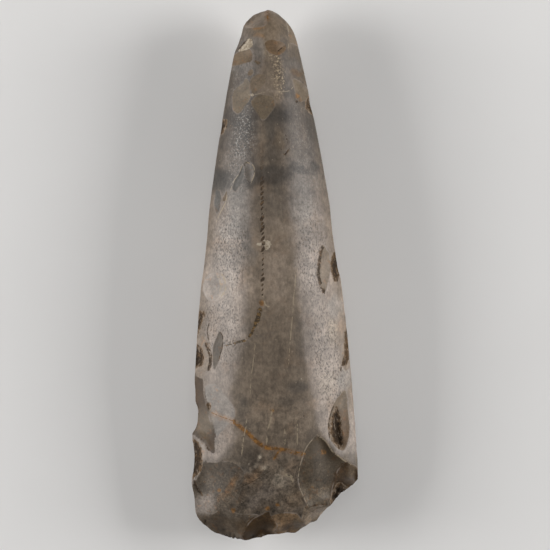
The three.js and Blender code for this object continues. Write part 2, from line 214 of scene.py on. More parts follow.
SCARS = (
    Scar("tip left", 0.25, 4, "beige", (
        (-1, -1.1), (1.2, -4), (3.7, -6.6), (7, -8.8), (7.9, -4.3), (7.2, -0.7), (4.2, 0.4), (0.9, 0.6),
    )),
    Scar("tip right", 0.35, 2.5, "tan", (
        (3.5, 8), (7.3, 8.5), (10.6, 8.8), (13.3, 9.1), (14.3, 10.7), (14.8, 14), (10, 14), (4, 11),
    )),
    Scar("butt hollow", 0.4, 2.8, "amber", (
        (14.6, -0.7), (13.3, 1), (13.1, 3.2), (13.7, 6.2), (15.5, 7.6), (17.6, 6.9), (19.1, 4),
        (18.2, 0.7),
    )),
    Scar("left shoulder", 0.4, 2.5, "brown", (
        (22.2, -14), (18.4, -13.5), (16.6, -10.3), (16.3, -7.4), (18, -5.7), (20.9, -6), (21.7, -8),
    )),
    Scar("small pit", 0.2, 0.9, "brown", ((21.4, -5.3), (21.1, -4.1), (22.2, -2.5), (22.7, -3.6))),
    Scar("seed pit", 0.25, 1.1, "brown", ((26.6, -7.8), (25, -7.1), (24.4, -6.1), (25.5, -5.4), (27, -6.4))),
    Scar("long leaf", 0.55, 2.6, "fawn", (
        (28.1, -8.8), (29.1, -7.4), (32.4, -6.9), (36.3, -7.2), (39.1, -9.2), (41.4, -10.9), (41.6, -12.7),
        (39.6, -14), (35.7, -14.1), (32.1, -13), (29.9, -9.8),
    )),
    Scar("beige leaf", 0.45, 2.6, "tan", (
        (29.3, -6.9), (27.7, -5.7), (26.7, -3.5), (26.7, -1.6), (28, -0.5), (31.1, -1.3), (33, -3.4),
        (34.2, -5.3), (32.7, -6.6),
    )),
    Scar("brown kite", 0.5, 3.5, "fawn", (
        (38.1, -6.5), (36.3, -5.6), (35.2, -3.4), (35, -0.5), (36, 2.2), (38.4, 2.8), (40.8, 2),
        (43.1, 0.3), (45, -1.9), (43.1, -3.7), (40.4, -5.1),
    )),
    Scar("right shoulder", 0.6, 4, "fawn", (
        (28.5, 10.2), (29, 12.5), (30.9, 15.1), (33.9, 17.5), (37.2, 20), (36.7, 15.3), (37.7, 13.1),
        (36.4, 11.2), (32.8, 10.8),
    )),
    Scar("hoop", 0.4, 1.2, "ash", (
        (62.7, -10), (61.6, -9), (61.9, -7.5), (63.4, -6.4), (66.1, -6.2), (68.8, -6.9), (68.8, -8.1),
        (65, -9.4),
    )),
    Scar("blue leaf", 0.45, 1.3, "slate", (
        (62.4, -10.2), (64.8, -9.7), (67.7, -10.4), (70.5, -11.7), (73, -13.2), (72, -14.5), (69.5, -14.1),
        (67.1, -12.7), (64.8, -11.4),
    )),
    Scar("left scoop", 0.45, 1.4, "slate", (
        (71.7, -20.8), (72.8, -19.6), (75.7, -19.1), (79.5, -19.8), (81.4, -21.2), (78.7, -22.1),
        (75.1, -22),
    )),
    Scar("speck", 0.3, 0.7, "brown", (
        (72.4, -16.7), (74.7, -16.9), (76.6, -17.5), (76.4, -18.6), (75, -18.4), (73.4, -17.6),
    )),
    Scar("left crescent", 0.6, 2.4, "frost", (
        (104.6, -24), (105, -20.6), (107, -17.6), (110.5, -16.6), (114, -18), (116.2, -21.4), (115.4, -25),
        (112, -27.2), (107.6, -26.6),
    )),
    Scar("right lens", 0.5, 2.2, "tan", (
        (94.1, 20.9), (97.5, 19.8), (102.3, 19), (105.7, 18.6), (110, 19.4), (113.6, 20.8), (110.5, 22.2),
        (107.2, 23.2), (102.9, 23.8), (99, 23.5), (96, 22.3),
    )),
    Scar("willow leaf", 0.45, 1.6, "olive", (
        (128, -20.5), (130.3, -19.5), (134.7, -19.8), (138.5, -21), (141.5, -22), (143.2, -23.3),
        (138.8, -24), (134.5, -23.6), (132, -22.9), (129.4, -21.6),
    )),
    Scar("hollow's shoulder", 0.8, 3.2, "beige", (
        (132.4, -34), (130.1, -29.7), (129.6, -27), (132.1, -25.4), (135.9, -24.4), (140.2, -24.3),
        (143.1, -25.6), (144.5, -28.5), (144.9, -34),
    )),
    Scar("right groove", 0.6, 1.5, "beige", (
        (128.5, 29), (134.5, 27.6), (139.3, 27.3), (142.9, 27.7), (144.5, 29.5), (139.4, 33), (132.6, 33),
    )),
    Scar("broad oval", 0.3, 5, "pearl", (
        (150.4, -27.1), (148.9, -25.5), (148.8, -23.3), (150, -21.3), (152.3, -19.7), (154.8, -17.6),
        (157.7, -15.8), (160.6, -15.2), (163.2, -16.3), (165.5, -18.8), (168.1, -21.3), (170, -23.1),
        (164.7, -25), (160.9, -25.6), (157.5, -26.5), (154.1, -27.5),
    )),
    Scar("left facet", 0.4, 2, "umber", (
        (146.5, -36), (146.6, -29.1), (148, -27.6), (150.7, -27.7), (154.6, -27.1), (158, -26.3),
        (161.6, -25.7), (168.8, -23.7), (174, -23.4), (176.4, -24), (175.4, -26.4), (173, -28.6),
        (171.4, -30), (170, -36),
    )),
    Scar("big hollow", 1.0, 3.2, "tan", (
        (152.6, 28.7), (154.4, 26.4), (157, 24.2), (160.8, 22.5), (165.1, 21.4), (168.9, 21.3),
        (171.9, 22.3), (174.5, 24.7), (176.4, 27.2), (174.5, 28.8), (171, 30), (166.2, 30.2),
        (161.4, 29.8), (157.6, 29.6),
    )),
    Scar("left rim", 0.6, 1.4, "bloom_and_highlight", (
        (170.6, -34), (171.4, -30), (173, -28), (176, -27.1), (181, -27.4), (185.4, -29.4), (187, -34),
    )),
    Scar("low left", 0.3, 4, "olive", (
        (180.9, -28.7), (180, -24.4), (179.7, -20), (180.6, -15.3), (183.7, -12), (188, -12.5),
        (192.7, -13.9), (198.4, -16.4), (202.7, -20.2), (204, -33.4), (194.3, -36), (186.7, -31.2),
    )),
    Scar("left edge facet", 0.3, 4, "olive", (
        (200.3, -34), (200.5, -28.6), (200.7, -25), (199, -21.8), (199.2, -18.5), (200.4, -15.2),
        (201, -11.3), (201, -7.5), (202.5, -5.6), (206, -10), (213, -12), (212.3, -17.7), (209.8, -25),
        (205, -31),
    )),
    Scar("brown fan", 0.8, 4, "umber", (
        (199.7, -3), (201.1, -5.6), (202.9, -9), (205.8, -11.4), (209.6, -13.1), (213, -11.8),
        (211.3, -5.2), (210.6, -0.8), (210.3, 2.2), (208, 1.6), (205, 0.7), (201.9, -1.5),
    )),
    Scar("jagged flake", 0.5, 3, "amber", (
        (201.9, -1.4), (200.8, 2.1), (200.6, 5.5), (201.2, 8.7), (203.3, 10.4), (205.6, 13), (207.2, 12.4),
        (210.2, 8.4), (210.5, 2), (208, -0.6), (205.5, 0.8),
    )),
    Scar("corner flake", 0.5, 3, "tan", (
        (198.1, 11.8), (198.4, 14.7), (197.6, 21.6), (198.8, 23), (203.5, 18.8), (205.8, 16.8),
        (207.6, 12.6), (205.5, 11.4), (202.4, 10.4),
    )),
    Scar("big grey scar", 0.9, 3.2, "moss", (
        (170, 17.6), (171.3, 15.1), (174.5, 12.6), (179.3, 10.7), (185, 9.5), (189.4, 9.7), (193.7, 11.1),
        (197.5, 12.8), (198.4, 15.7), (197.8, 21), (198.3, 23.3), (193.8, 27.4), (191.2, 31), (189, 34),
        (185.4, 34.4), (183, 32), (180.6, 28), (178.5, 25.5), (176.2, 22.9), (172.3, 20.5),
    )),
    Scar("brown corner", 0.4, 3, "umber", (
        (198.5, 22.4), (195, 22.6), (191.7, 22.9), (188, 23.8), (184.8, 24.8), (182.4, 26.6), (181.4, 29),
        (182.4, 31.6), (184, 34), (189, 42), (198, 36), (201, 27),
    )),
    Scar("left corner", 0.5, 5, "ash", (
        (184, -34), (185, -27), (193, -22), (201, -20), (209, -22), (210, -25), (205, -31), (199, -33.5),
        (190, -34.5),
    ), UNDER),
    Scar("left edge", 0.6, 5, "tan", (
        (194, -21), (195, -14), (202, -9), (210, -7), (213, -11), (212.3, -17.7), (210, -25), (203, -25),
    ), UNDER),
    Scar("middle edge", 0.8, 6, "core", (
        (189, -8), (187, -1), (192, 6), (204, 9), (210, 8), (210.5, 2), (210.7, -0.8), (211.3, -5.2),
        (212.6, -10), (203, -11),
    ), UNDER),
    Scar("right edge", 0.5, 5, "beige", (
        (199, 6), (194.5, 12), (197, 19), (199, 23), (203.5, 18.8), (205.8, 16.8), (208, 11), (210.3, 7.6),
        (206, 4.5),
    ), UNDER),
    Scar("broken corner", 0.9, 8, "umber", (
        (170, 34.5), (166, 28), (172, 19), (184, 13), (193, 12), (199.5, 20), (198.3, 23.3), (193.8, 27.4),
        (191.2, 31), (189, 34), (180, 35),
    ), UNDER),
)

# Hollows sunk into what lies round them
POCKETS = (
    Pocket("right notch", 0.8, 1.3, ((36, 15.4), (38.1, 14.9), (40.6, 15.4), (42, 18), (36, 19))),
    Pocket("left notch", 0.8, 1.4, (
        (43.5, -18), (43.7, -16.5), (45.9, -16.4), (48.4, -17.2), (49.7, -18.6), (48.8, -21), (43.6, -21),
    )),
    Pocket("right margin", 1.2, 1.3, (
        (97.4, 25), (100.5, 23.9), (102.9, 23.5), (106.2, 24.2), (109, 25.2), (108.6, 27), (104.9, 27.2),
        (99, 26.2),
    )),
    Pocket("left hollow", 1.7, 2, (
        (132.8, -34), (133, -30.2), (134.4, -28.4), (137.4, -27.3), (140.6, -27.4), (142.3, -29.2),
        (142, -34),
    )),
    Pocket("left margin", 0.5, 1, (
        (119.4, -27.6), (121, -26.1), (123, -27), (126.5, -28.2), (130, -29.6), (131.6, -31.2), (126, -31),
        (121, -29.4),
    )),
    Pocket("right margin strip", 0.6, 1, (
        (127.6, 29.6), (130.5, 28.6), (134.6, 28.5), (138.6, 28.3), (142.4, 27.4), (143, 28.6),
        (140, 30.6), (135, 30.6), (129, 30.2),
    )),
    Pocket("thorn hole", 0.6, 0.8, (
        (156.9, -26.8), (156.3, -25.6), (157.8, -24.7), (159.3, -24.8), (159.4, -25.9),
    )),
    Pocket("big pocket", 1.1, 2.4, (
        (158.6, 25), (162, 23.2), (165, 22.3), (169, 22.1), (172.4, 23.2), (175.6, 26), (174, 27.4),
        (170.5, 27.4), (166.5, 27), (162.5, 26.6),
    )),
    Pocket("pocket's floor", 0.5, 1.2, (
        (165.4, 23.9), (165.2, 25.5), (168.1, 26.3), (171, 26.9), (174.4, 26.1), (173.1, 24),
        (169.9, 23.3),
    )),
    Pocket("left pocket", 1.2, 2, (
        (171.2, -36), (171.6, -31), (172.9, -29.8), (175.2, -28.7), (178.5, -28.4), (182, -29),
        (185, -30.4), (186, -36),
    )),
    Pocket("corner skin", 0.3, 1.2, (
        (189, 25.6), (191.4, 23.8), (194.6, 22.4), (198, 22), (197.4, 26), (193, 30), (190.4, 28),
    )),
)

# The under face isn't seen in the picture. It has scars of the same kinds in other places.
UNDER_SCARS = (
    Moved("tip right", 8, -9, 180, 1.2),
    Moved("long leaf", 24, 7, 25, 1.3),
    Moved("brown kite", 21, -6, 60, 1.1),
    Moved("beige leaf", 38, -11, 10, 1.2),
    Moved("long leaf", 52, 15, 160, 1),
    Moved("blue leaf", 66, -14, 30, 1.3),
    Moved("willow leaf", 79, 20, 180, 1),
    Moved("broad oval", 99, -19, 15, 0.8),
    Moved("hoop", 92, 8, 200, 1),
    Moved("right lens", 122, 24, 190, 1),
    Moved("broad oval", 140, 20, 170, 1),
    Moved("willow leaf", 133, -22, 20, 1.1),
    Moved("big hollow", 160, -26, 185, 1),
    Moved("left scoop", 171, 9, 60, 1.4),
    Moved("speck", 118, 12, 40, 1.2),
)
UNDER_POCKETS = (
    Moved("left hollow", 84, -24, 0, 0.9),
    Moved("big pocket", 161, -27, 185, 0.9),
    Moved("left margin", 150, 29, 180, 1),
)

TRAILS = (
    Trail("dash", 1, 0.12, (
        (56.8, -2.6), (61.1, -2.7), (65.9, -2.7), (70.7, -2.8), (76.5, -2.9), (81.3, -3), (86.1, -3),
        (91.8, -2.9), (97.6, -3), (102.4, -3.1), (107.2, -3.3), (111, -3.4), (114.9, -3.5),
    )),
    Trail("vein", 0.95, 0.15, ((119.6, -4.6), (121.6, -5), (123.5, -5.6), (125.8, -6.6))),
    Trail("vein", 0.5, 0.15, (
        (125.8, -6.6), (128.7, -8), (130.6, -9.5), (131.6, -11), (132.2, -13.2), (132.6, -14.6),
    )),
    Trail("vein", 0.28, 0.08, ((132.8, -15.6), (133.2, -17), (133.7, -18.5))),
    Trail("iron", 0.16, 0, ((160.4, -24), (161.7, -20.7), (163.2, -16.4))),
    Trail("iron", 0.75, 0, (
        (163.4, -15.9), (165.7, -13.1), (168.3, -10.2), (170.3, -8.1), (172.3, -6), (173.7, -3.6),
        (174.2, -1.7),
    )),
    Trail("iron", 0.6, 0, (
        (174.3, -1.2), (174.7, 2.1), (175.2, 5), (176, 7.4), (176.6, 9.3), (176.9, 11.5),
    )),
    Trail("iron", 0.4, 0, ((174.9, 2), (176.7, 1.1), (178.2, 0.1))),
    Trail("iron", 0.3, 0, ((0.4, 0.6), (2.2, 0.5), (4.3, 0.6))),
    Trail("pale", 0.13, 0, ((3.9, 8), (7.8, 8.6), (12.6, 8.9), (15.9, 8.6))),
    Trail("pale", 0.14, 0, ((31.8, 10.1), (33.5, 8.1), (33.9, 2.4), (33.8, -0.5), (34.7, -4.4), (34.9, -7))),
    # Painted highlight: the next two pale arcs in the left crescent stand for the lit parts of its hollow.
    Trail("pale", 0.35, 0.15, ((105.6, -19.4), (108, -18.2), (111, -18), (114, -19.6))),
    Trail("pale", 0.3, 0.15, ((106.4, -21), (109, -20), (112.4, -20.4), (115, -22.4))),
    # Painted highlight: a pale line along the hoop's rim on its +X side.
    Trail("pale", 0.2, 0, ((61.6, -8.2), (63.2, -6), (66.4, -5.8), (69.2, -7))),
    Trail("pale", 0.15, 0, ((62.4, -10.4), (65.6, -11.8), (69, -14.2), (72, -15.2))),
    Trail("pale", 0.2, 0.1, ((73.3, -16.8), (76.7, -17.4), (80, -19.1), (84, -21.2))),
    Trail("vein", 0.3, 0.1, ((62.6, -9.9), (61.6, -8.8), (61.9, -7.4))),
    Trail("pale", 0.3, 0, ((114.6, -3.2), (116.3, -2.8), (117.8, -2.2), (118.6, -0.9))),
    Trail("pale", 0.16, 0, (
        (104.5, 9.9), (109.8, 9.4), (114.6, 8.8), (121.8, 8.2), (129, 7.4), (136.2, 6.7), (140.5, 6.2),
    )),
    Trail("pale", 0.32, 0, ((159.6, -0.6), (162.8, -1.1), (165.6, -2), (168.5, -2.6), (171.9, -2.9))),
    Trail("pale", 0.32, 0, ((167.6, 4.3), (169.1, 4.4), (172.1, 4.1))),
    Trail("pale", 0.22, 0, ((163, 9.3), (167.8, 9.3), (172.3, 9.1))),
    Trail("pale", 0.24, 0, ((163.3, -10.7), (165.7, -11), (169.8, -11.9), (176.2, -12.8))),
    Trail("pale", 0.14, 0, ((133.4, -6.7), (141.5, -7.8), (146.3, -8.6), (152.3, -9))),
    # Painted highlight: the next two pale lines run along the big grey scar's rims.
    Trail("pale", 0.15, 0, (
        (171.3, 15.1), (174.5, 12.6), (179.3, 10.7), (185, 9.5), (189.4, 9.7), (193.7, 11.1),
        (197.5, 12.8),
    )),
    Trail("pale", 0.28, 0, (
        (170, 17.6), (172.3, 20.5), (176.2, 22.9), (178.5, 25.5), (180.6, 28), (182.6, 31),
    )),
    Trail("pale", 0.6, 0.05, ((185, 4.7), (185.6, 6.3), (186.9, 6.9), (188.1, 6.6))),
    Trail("crack", 0.3, 0.3, ((15.6, -10.9), (13.7, -9.1), (12, -7.6))),
    Trail("crack", 0.25, 0.2, ((17.4, 4.5), (16.4, 5.6), (15.7, 6.8))),
    Trail("crack", 0.2, 0.1, ((51.6, 7.1), (53.5, 7.3))),
    Trail("crack", 0.28, 0.15, ((57.3, 5.3), (58.8, 6.3), (57.1, 7.6))),
    Trail("crack", 0.6, 0.4, (
        (95.1, 20.7), (98, 19.8), (102.3, 19), (105.7, 18.7), (110, 19.5), (113.1, 20.7),
    )),
    Trail("crack", 0.2, 0.2, ((128.2, -20.3), (130.3, -19.5), (133.8, -19.7), (136.1, -20.3), (140, -21.4))),
    Trail("crack", 0.6, 0.6, (
        (133.2, -26.3), (135.4, -25.2), (138.3, -24.5), (141.2, -24.7), (142.9, -25.4),
    )),
    Trail("crack", 0.3, 0.3, ((139.8, 28.2), (142.2, 27.7), (145.3, 26.7))),
    Trail("crack", 0.18, 0.15, ((124.3, -24.7), (127.4, -25.7), (130, -25.5), (132.5, -24.8))),
    Trail("crack", 0.5, 0.3, ((187.4, -32.3), (190.3, -31.2), (193.1, -29.3))),
    Trail("crack", 0.35, 0.2, ((198, 14.7), (197.6, 18), (197.6, 22))),
    Trail("crack", 0.25, 0.2, ((158.5, 23.8), (162.3, 22.4), (166.1, 21.7), (171, 21.9))),
    Trail("crack", 0.12, 0.05, ((190, -14), (187, -7.6), (183.2, -1.6))),
)

# Small round marks, each along, across and its radius
SPOTS = {
    "rust": (
        (117, -4, 1.1), (199.2, -16.6, 0.9), (198.5, -3.1, 1), (191.2, -22.2, 0.7), (35.2, 11.8, 1),
        (159.4, -0.5, 0.7), (168.3, -9.9, 0.8), (174, -3.2, 0.8), (174.8, 2.4, 0.9), (197.1, 0.8, 0.8),
        (190.4, 15, 0.5), (176.6, 19.4, 1.1),
    ),
    "dark": (
        (176.8, 19.6, 0.3), (169.5, -0.4, 0.35), (162, 12, 0.5), (185.8, 23.8, 0.6), (191.1, 15.5, 0.5),
        (37.5, 11.5, 0.6), (93.6, -2.7, 0.9), (137.8, -29.2, 1.5), (178.3, -31, 1.8),
    ),
    "chalk": (
        (177.8, -5.8, 0.7), (180.6, -10.2, 0.4), (182.4, -3.9, 0.45), (147.1, 11.1, 0.35), (53.7, 4.3, 0.35),
        (34.9, -6, 0.5),
    ),
}

# Chalky patches with an outline of their own
CHALK = (
    ((93.8, -5.5), (93.4, -4), (92.5, -3), (92.2, -1.6), (93, 0), (94.3, 0.2), (95.9, -0.9), (95.8, -2.4),
     (94.4, -2.9), (94.7, -4.3)),
    ((16.6, -11.3), (15.1, -9.9), (13.6, -8.4), (12.1, -7.2), (12.6, -5.6), (15, -5.5), (16.1, -6.8),
     (16.9, -9.4)),
)

# How softly the middle zone ends on either side
LEFT_SOFT = ((0, 2), (55, 3), (95, 3.4), (110, 4.5), (125, 4.2), (140, 2.4), (155, 1.3))
RIGHT_SOFT = ((0, 2), (55, 3), (90, 3), (105, 1.8), (150, 1.3))

# Borders of the clear middle zone, and how light the zone and the flanks are, at places along the stone
MIDDLE_LEFT = (
    (0, -3), (40, -3.7), (60, -5.6), (80, -6.5), (95, -8.4), (112, -10), (130, -10.8), (145, -15),
    (152, -16.8), (162, -15.3), (168, -16.4), (173, -18.3), (180.3, -22.7), (183, -32),
)
MIDDLE_RIGHT = (
    (0, 5), (40, 5.3), (60, 6.4), (80, 7), (95, 9.2), (108, 10), (118, 11.3), (138, 12.4), (148, 14.7),
    (154, 15.4), (166, 17), (175, 23), (180, 37),
)
MIDDLE_LIGHT = (
    (0, 1.3), (12, 1.2), (22, 1.1), (36, 1.22), (45, 0.76), (52, 1.0), (66, 0.74), (80, 0.96), (90, 1.14),
    (114, 1.22), (128, 0.9), (140, 0.93), (150, 0.93), (160, 1.08), (172, 0.88), (185, 0.76), (197, 0.63),
    (212, 0.38),
)
FLANK_LIGHT = (
    (0, 0.95), (20, 0.68), (34, 0.57), (44, 0.46), (55, 0.6), (72, 0.86), (80, 1.03), (95, 1.18),
    (108, 1.38), (118, 1.35), (130, 1.18), (150, 1.27), (165, 1.35), (172, 1.15), (180, 0.95), (190, 0.8),
    (212, 0.6),
)

# Clouds over the ground surface, one after another, one of them a painted light
CLOUDS = make_clouds(
    ("tan", 0.85, 8, 2.4, 12, 13), ("tan", 0.8, 22, 13, 24, 6, 8), ("rust", 0.45, 7.2, -3.8, 1, 3.4, 6),
    ("rust", 0.4, 10.6, -3.4, 1.1, 2.2, -8), ("beige", 0.6, 9, 11, 9, 3), ("ash", 0.7, 22.5, -4, 5, 3.6),
    ("pearl", 0.6, 16, -3, 6, 2.2, 10), ("pearl", 0.5, 23, -11, 3, 4), ("pearl", 0.5, 22, 12, 3, 2.6),
    ("ash", 0.6, 22.5, 10.7, 2.8, 3), ("rust", 0.3, 25.9, 11.8, 1.2, 3.6),
    ("brown", 0.6, 35.6, 11.6, 1.6, 1), ("brown", 0.4, 26, 4.6, 8, 2.6), ("beige", 0.6, 33.8, 2, 1.4, 7),
    ("smoke", 0.72, 43.4, 4, 4.2, 5.4), ("smoke", 0.5, 47, 0.5, 9, 2.4), ("smoke", 0.4, 56, 1.5, 10, 3.2),
    ("smoke", 0.35, 46, 17.5, 9, 3.4), ("beige", 0.7, 52, 10.6, 10, 5), ("tan", 0.6, 52.6, 4.6, 4.6, 3.2),
    ("smoke", 0.7, 67.2, 0, 4.6, 12, 3), ("smoke", 0.4, 69, -7, 2.6, 4),
    ("smoke", 0.85, 68.4, -19.6, 5.4, 4.6), ("smoke", 0.7, 64.6, 12.6, 1.7, 6.4, -12),
    ("smoke", 0.75, 63.2, 18.2, 2.4, 2.2), ("slate", 0.3, 77, 3, 8, 5), ("beige", 0.6, 85, 1.2, 2.2, 4),
    ("beige", 0.6, 87, 6.2, 2.4, 4.4), ("slate", 0.6, 93, -9.3, 4.8, 3),
    ("slate", 0.5, 98.6, -7.6, 3.4, 2.8), ("slate", 0.4, 86.8, -9.6, 2.4, 2),
    ("smoke", 0.3, 93, 6.4, 1.8, 2.6), ("beige", 0.75, 106, 2.3, 13, 5.6),
    ("beige", 0.5, 108, -7.4, 11, 3.2), ("core", 0.6, 130, 2.2, 9, 9),
    ("smoke", 0.35, 129.6, -2.6, 1.6, 4.8, 12), ("smoke", 0.3, 126, -9.6, 5, 2.2),
    ("smoke", 0.25, 130, 10.4, 12, 2.4), ("smoke", 0.55, 150.6, 10.2, 3, 5),
    ("smoke", 0.35, 155, 5.6, 1.8, 4.4), ("beige", 0.5, 157, 13.4, 2.6, 4.4, 10),
    ("smoke", 0.35, 160, -11.6, 8, 3.4), ("smoke", 0.45, 164.4, -6.8, 1.5, 1.4),
    ("smoke", 0.35, 155.8, -11.6, 2.2, 1.8), ("core", 0.5, 163, 2, 10, 10),
    ("smoke", 0.3, 178, -9, 3.2, 8.6), ("bloom_and_highlight", 0.8, 174.5, -20.5, 9, 3.6, -42),
    ("beige", 0.6, 187.6, 2.6, 4, 4.2), ("smoke", 0.2, 186, -4, 3, 4.2), ("beige", 0.6, 197, 7.4, 3.6, 5),
    ("olive", 0.5, 194.6, 3.6, 1.8, 2.6), ("bloom_and_highlight", 0.75, 193.6, -24, 1.9, 6.4, 48),
    ("bloom_and_highlight", 0.6, 133, 21, 5, 4, 20), ("bloom_and_highlight", 0.5, 139, 16.8, 3.4, 2.6), ("bloom_and_highlight", 0.5, 117, -13, 6, 4),
    ("frost", 0.35, 127, -14, 7, 4.4), ("smoke", 0.25, 172, -22.6, 3, 3), ("frost", 0.75, 88, -15.6, 6, 6),
    ("frost", 0.45, 108, -20, 14, 8), ("frost", 0.3, 104, 14, 10, 5), ("bloom_and_highlight", 0.5, 103, 15, 9, 5),
    ("bloom_and_highlight", 0.5, 142, 20, 14, 7), ("bloom_and_highlight", 0.8, 171, 31.5, 12, 2.6),
    # Painted light: the bloom cloud at 175.5 along lightens the ground along the big grey scar's border,
    # against the shadow of the broken corner's slope.
    ("bloom_and_highlight", 0.9, 175.5, 27.5, 2.6, 6, 55), ("beige", 0.5, 129, 23.5, 6, 3.5),
    ("beige", 0.5, 158, 22, 4, 3), ("smoke", 0.35, 42, -14, 5, 4), ("slate", 0.2, 60, 14, 5, 5),
    ("bloom_and_highlight", 0.5, 50, 10.4, 8, 4), ("pearl", 0.8, 78, -12.6, 12, 5), ("pearl", 0.6, 78, 12.6, 12, 5),
    ("pearl", 0.8, 147.6, 28.4, 4.4, 3), ("pearl", 0.7, 119.6, 25, 6.5, 3.2),
    ("chalk", 0.22, 129, 24, 5, 3), ("chalk", 0.18, 150, 22, 5, 4), ("smoke", 0.5, 68, -19, 4.4, 4.6),
    ("chalk", 0.5, 177.8, -5.8, 1, 1), ("chalk", 0.35, 182.4, -3.9, 1, 1.1),
    ("chalk", 0.3, 182.6, 3.5, 1.2, 1.5), ("chalk", 0.2, 180.6, -7.2, 1.3, 1.6, 30),
    ("chalk", 0.3, 186.5, 1.2, 3.2, 1.2, -30), ("beige", 0.8, 187, 4.5, 3.4, 2.6, -20),
    ("tan", 0.8, 195, 7.5, 3.4, 4.4), ("bloom_and_highlight", 0.4, 196, -9, 3, 3.4), ("bloom_and_highlight", 0.35, 188, -22, 4, 5),
    ("patina", 0.5, 192, -4, 4, 5), ("smoke", 0.3, 184, -16, 2, 6), ("tan", 0.6, 191, 9, 3, 3),
    ("rust", 0.3, 189, -15.5, 5, 1.4, -35), ("rust", 0.25, 184.6, -10, 1.2, 6, 24),
    ("bloom_and_highlight", 0.8, 162, 20, 12, 3, 8), ("rust", 0.45, 196.8, -22.4, 1.4, 4, 30),
    ("rust", 0.22, 190.5, -15, 5.4, 1.4), ("rust", 0.2, 186, -9, 1, 6, 28), ("tan", 0.5, 205, 6, 4, 6),
    ("chalk", 0.3, 187, 2.5, 4, 3.2), ("slate", 0.5, 183, -16, 3, 8), ("bloom_and_highlight", 0.5, 92, -13, 0.9, 6, -12),
    ("bloom_and_highlight", 0.4, 84, -17, 0.8, 4, 50), ("bloom_and_highlight", 0.35, 97, -18, 0.9, 4, -20),
)

# Where the ground surface and the scars show fine textures, and where the painted highlight on the scars'
# rims is left out
TEXTURES = make_clouds(
    ("speckle", 1, 52, -11, 18, 4.6, -8), ("speckle", 0.65, 57, -11, 22, 6, -6),
    ("speckle", 0.45, 92, -16, 16, 7, -6), ("speckle", 0.25, 60, 14, 30, 5, 6),
    ("speckle", 0.3, 28, -10, 14, 5, -10), ("speckle", 0.3, 100, -17, 26, 7, -4),
    ("pitted", 1, 96, -16, 20, 8, -4), ("pitted", 0.9, 126, -20, 18, 9, -4),
    ("pitted", 0.9, 98, 16, 24, 7, 4), ("pitted", 1, 140, 22, 26, 7, 6), ("pitted", 0.5, 166, -22, 12, 6),
    ("mottled", 0.9, 192, 0, 18, 40), ("mottled", 0.35, 162, 0, 14, 20),
    ("crystal", 1, 26, 4.2, 11, 3.2, 2), ("crystal", 0.6, 18.6, 2.4, 3, 4),
    ("unhighlighted", 1, 190, -13.4, 11, 4.6), ("unhighlighted", 0.6, 31, -2, 18, 18),
)

# Clouds over the scars
SCAR_CLOUDS = make_clouds(
    ("fawn", 0.8, 165, -27.4, 7, 4), ("smoke", 0.35, 65, -7.6, 4, 2), ("rust", 0.3, 190, -18, 9, 1.6, -38),
    ("tan", 0.35, 194, -19, 8, 3, -35), ("bloom_and_highlight", 0.75, 197, -28, 4, 5, 30),
    ("smoke", 0.45, 184, -17, 2, 7), ("tan", 0.6, 183.6, 31.5, 3, 3, 40), ("skin", 0.9, 168, 27, 9, 4),
    # Painted shade: the slate cloud at 109.5 along darkens the inside of the left crescent.
    ("frost", 0.35, 158, -20, 10, 6), ("slate", 0.3, 109.5, -22.4, 4.5, 2),
    ("frost", 0.6, 109, -18.6, 4.4, 1.6), ("smoke", 0.25, 186, 18, 5, 5),
    ("fawn", 0.8, 194, 15.5, 5, 6, -20), ("smoke", 0.5, 205, -20, 4, 6), ("umber", 0.4, 204, -24, 4, 6),
    ("brown", 0.5, 206, -16, 4, 5), ("umber", 0.8, 204.3, -2.4, 4.5, 2.4, 20),
    ("amber", 0.35, 208, -1, 2.4, 2.4, 10), ("umber", 0.5, 206, -14, 4, 3),
    ("umber", 0.8, 206.4, 3.6, 2.2, 2.2, -20), ("beige", 0.5, 104, 21.4, 7, 2),
    ("tan", 0.9, 205.6, 8.8, 3.4, 2.8), ("beige", 0.8, 201, 16, 3, 4),
)


class AxeHeadStone(bpy.types.PropertyGroup):
    """Sizes of the stone's fine surface."""

    cell: bpy.props.FloatProperty(
        name="Cell",
        description="Edge length of the fine surface's faces",
        default=0.000615,
        unit="LENGTH",
    )
    evening: bpy.props.IntProperty(
        name="Evening",
        description="Passes that even out facets and keep the ridges between scars",
        default=30,
    )
    wave: bpy.props.FloatProperty(
        name="Wave",
        description="Height of the slow waves that grinding left",
        default=0.0002,
        unit="LENGTH",
    )
    settling: bpy.props.IntProperty(
        name="Settling",
        description="Passes that even out the surface again once the scars are in it",
        default=4,
    )


def tone(name, description, default):
    """A colour setting."""
    return bpy.props.FloatVectorProperty(name=name, description=description, subtype="COLOR", default=default)


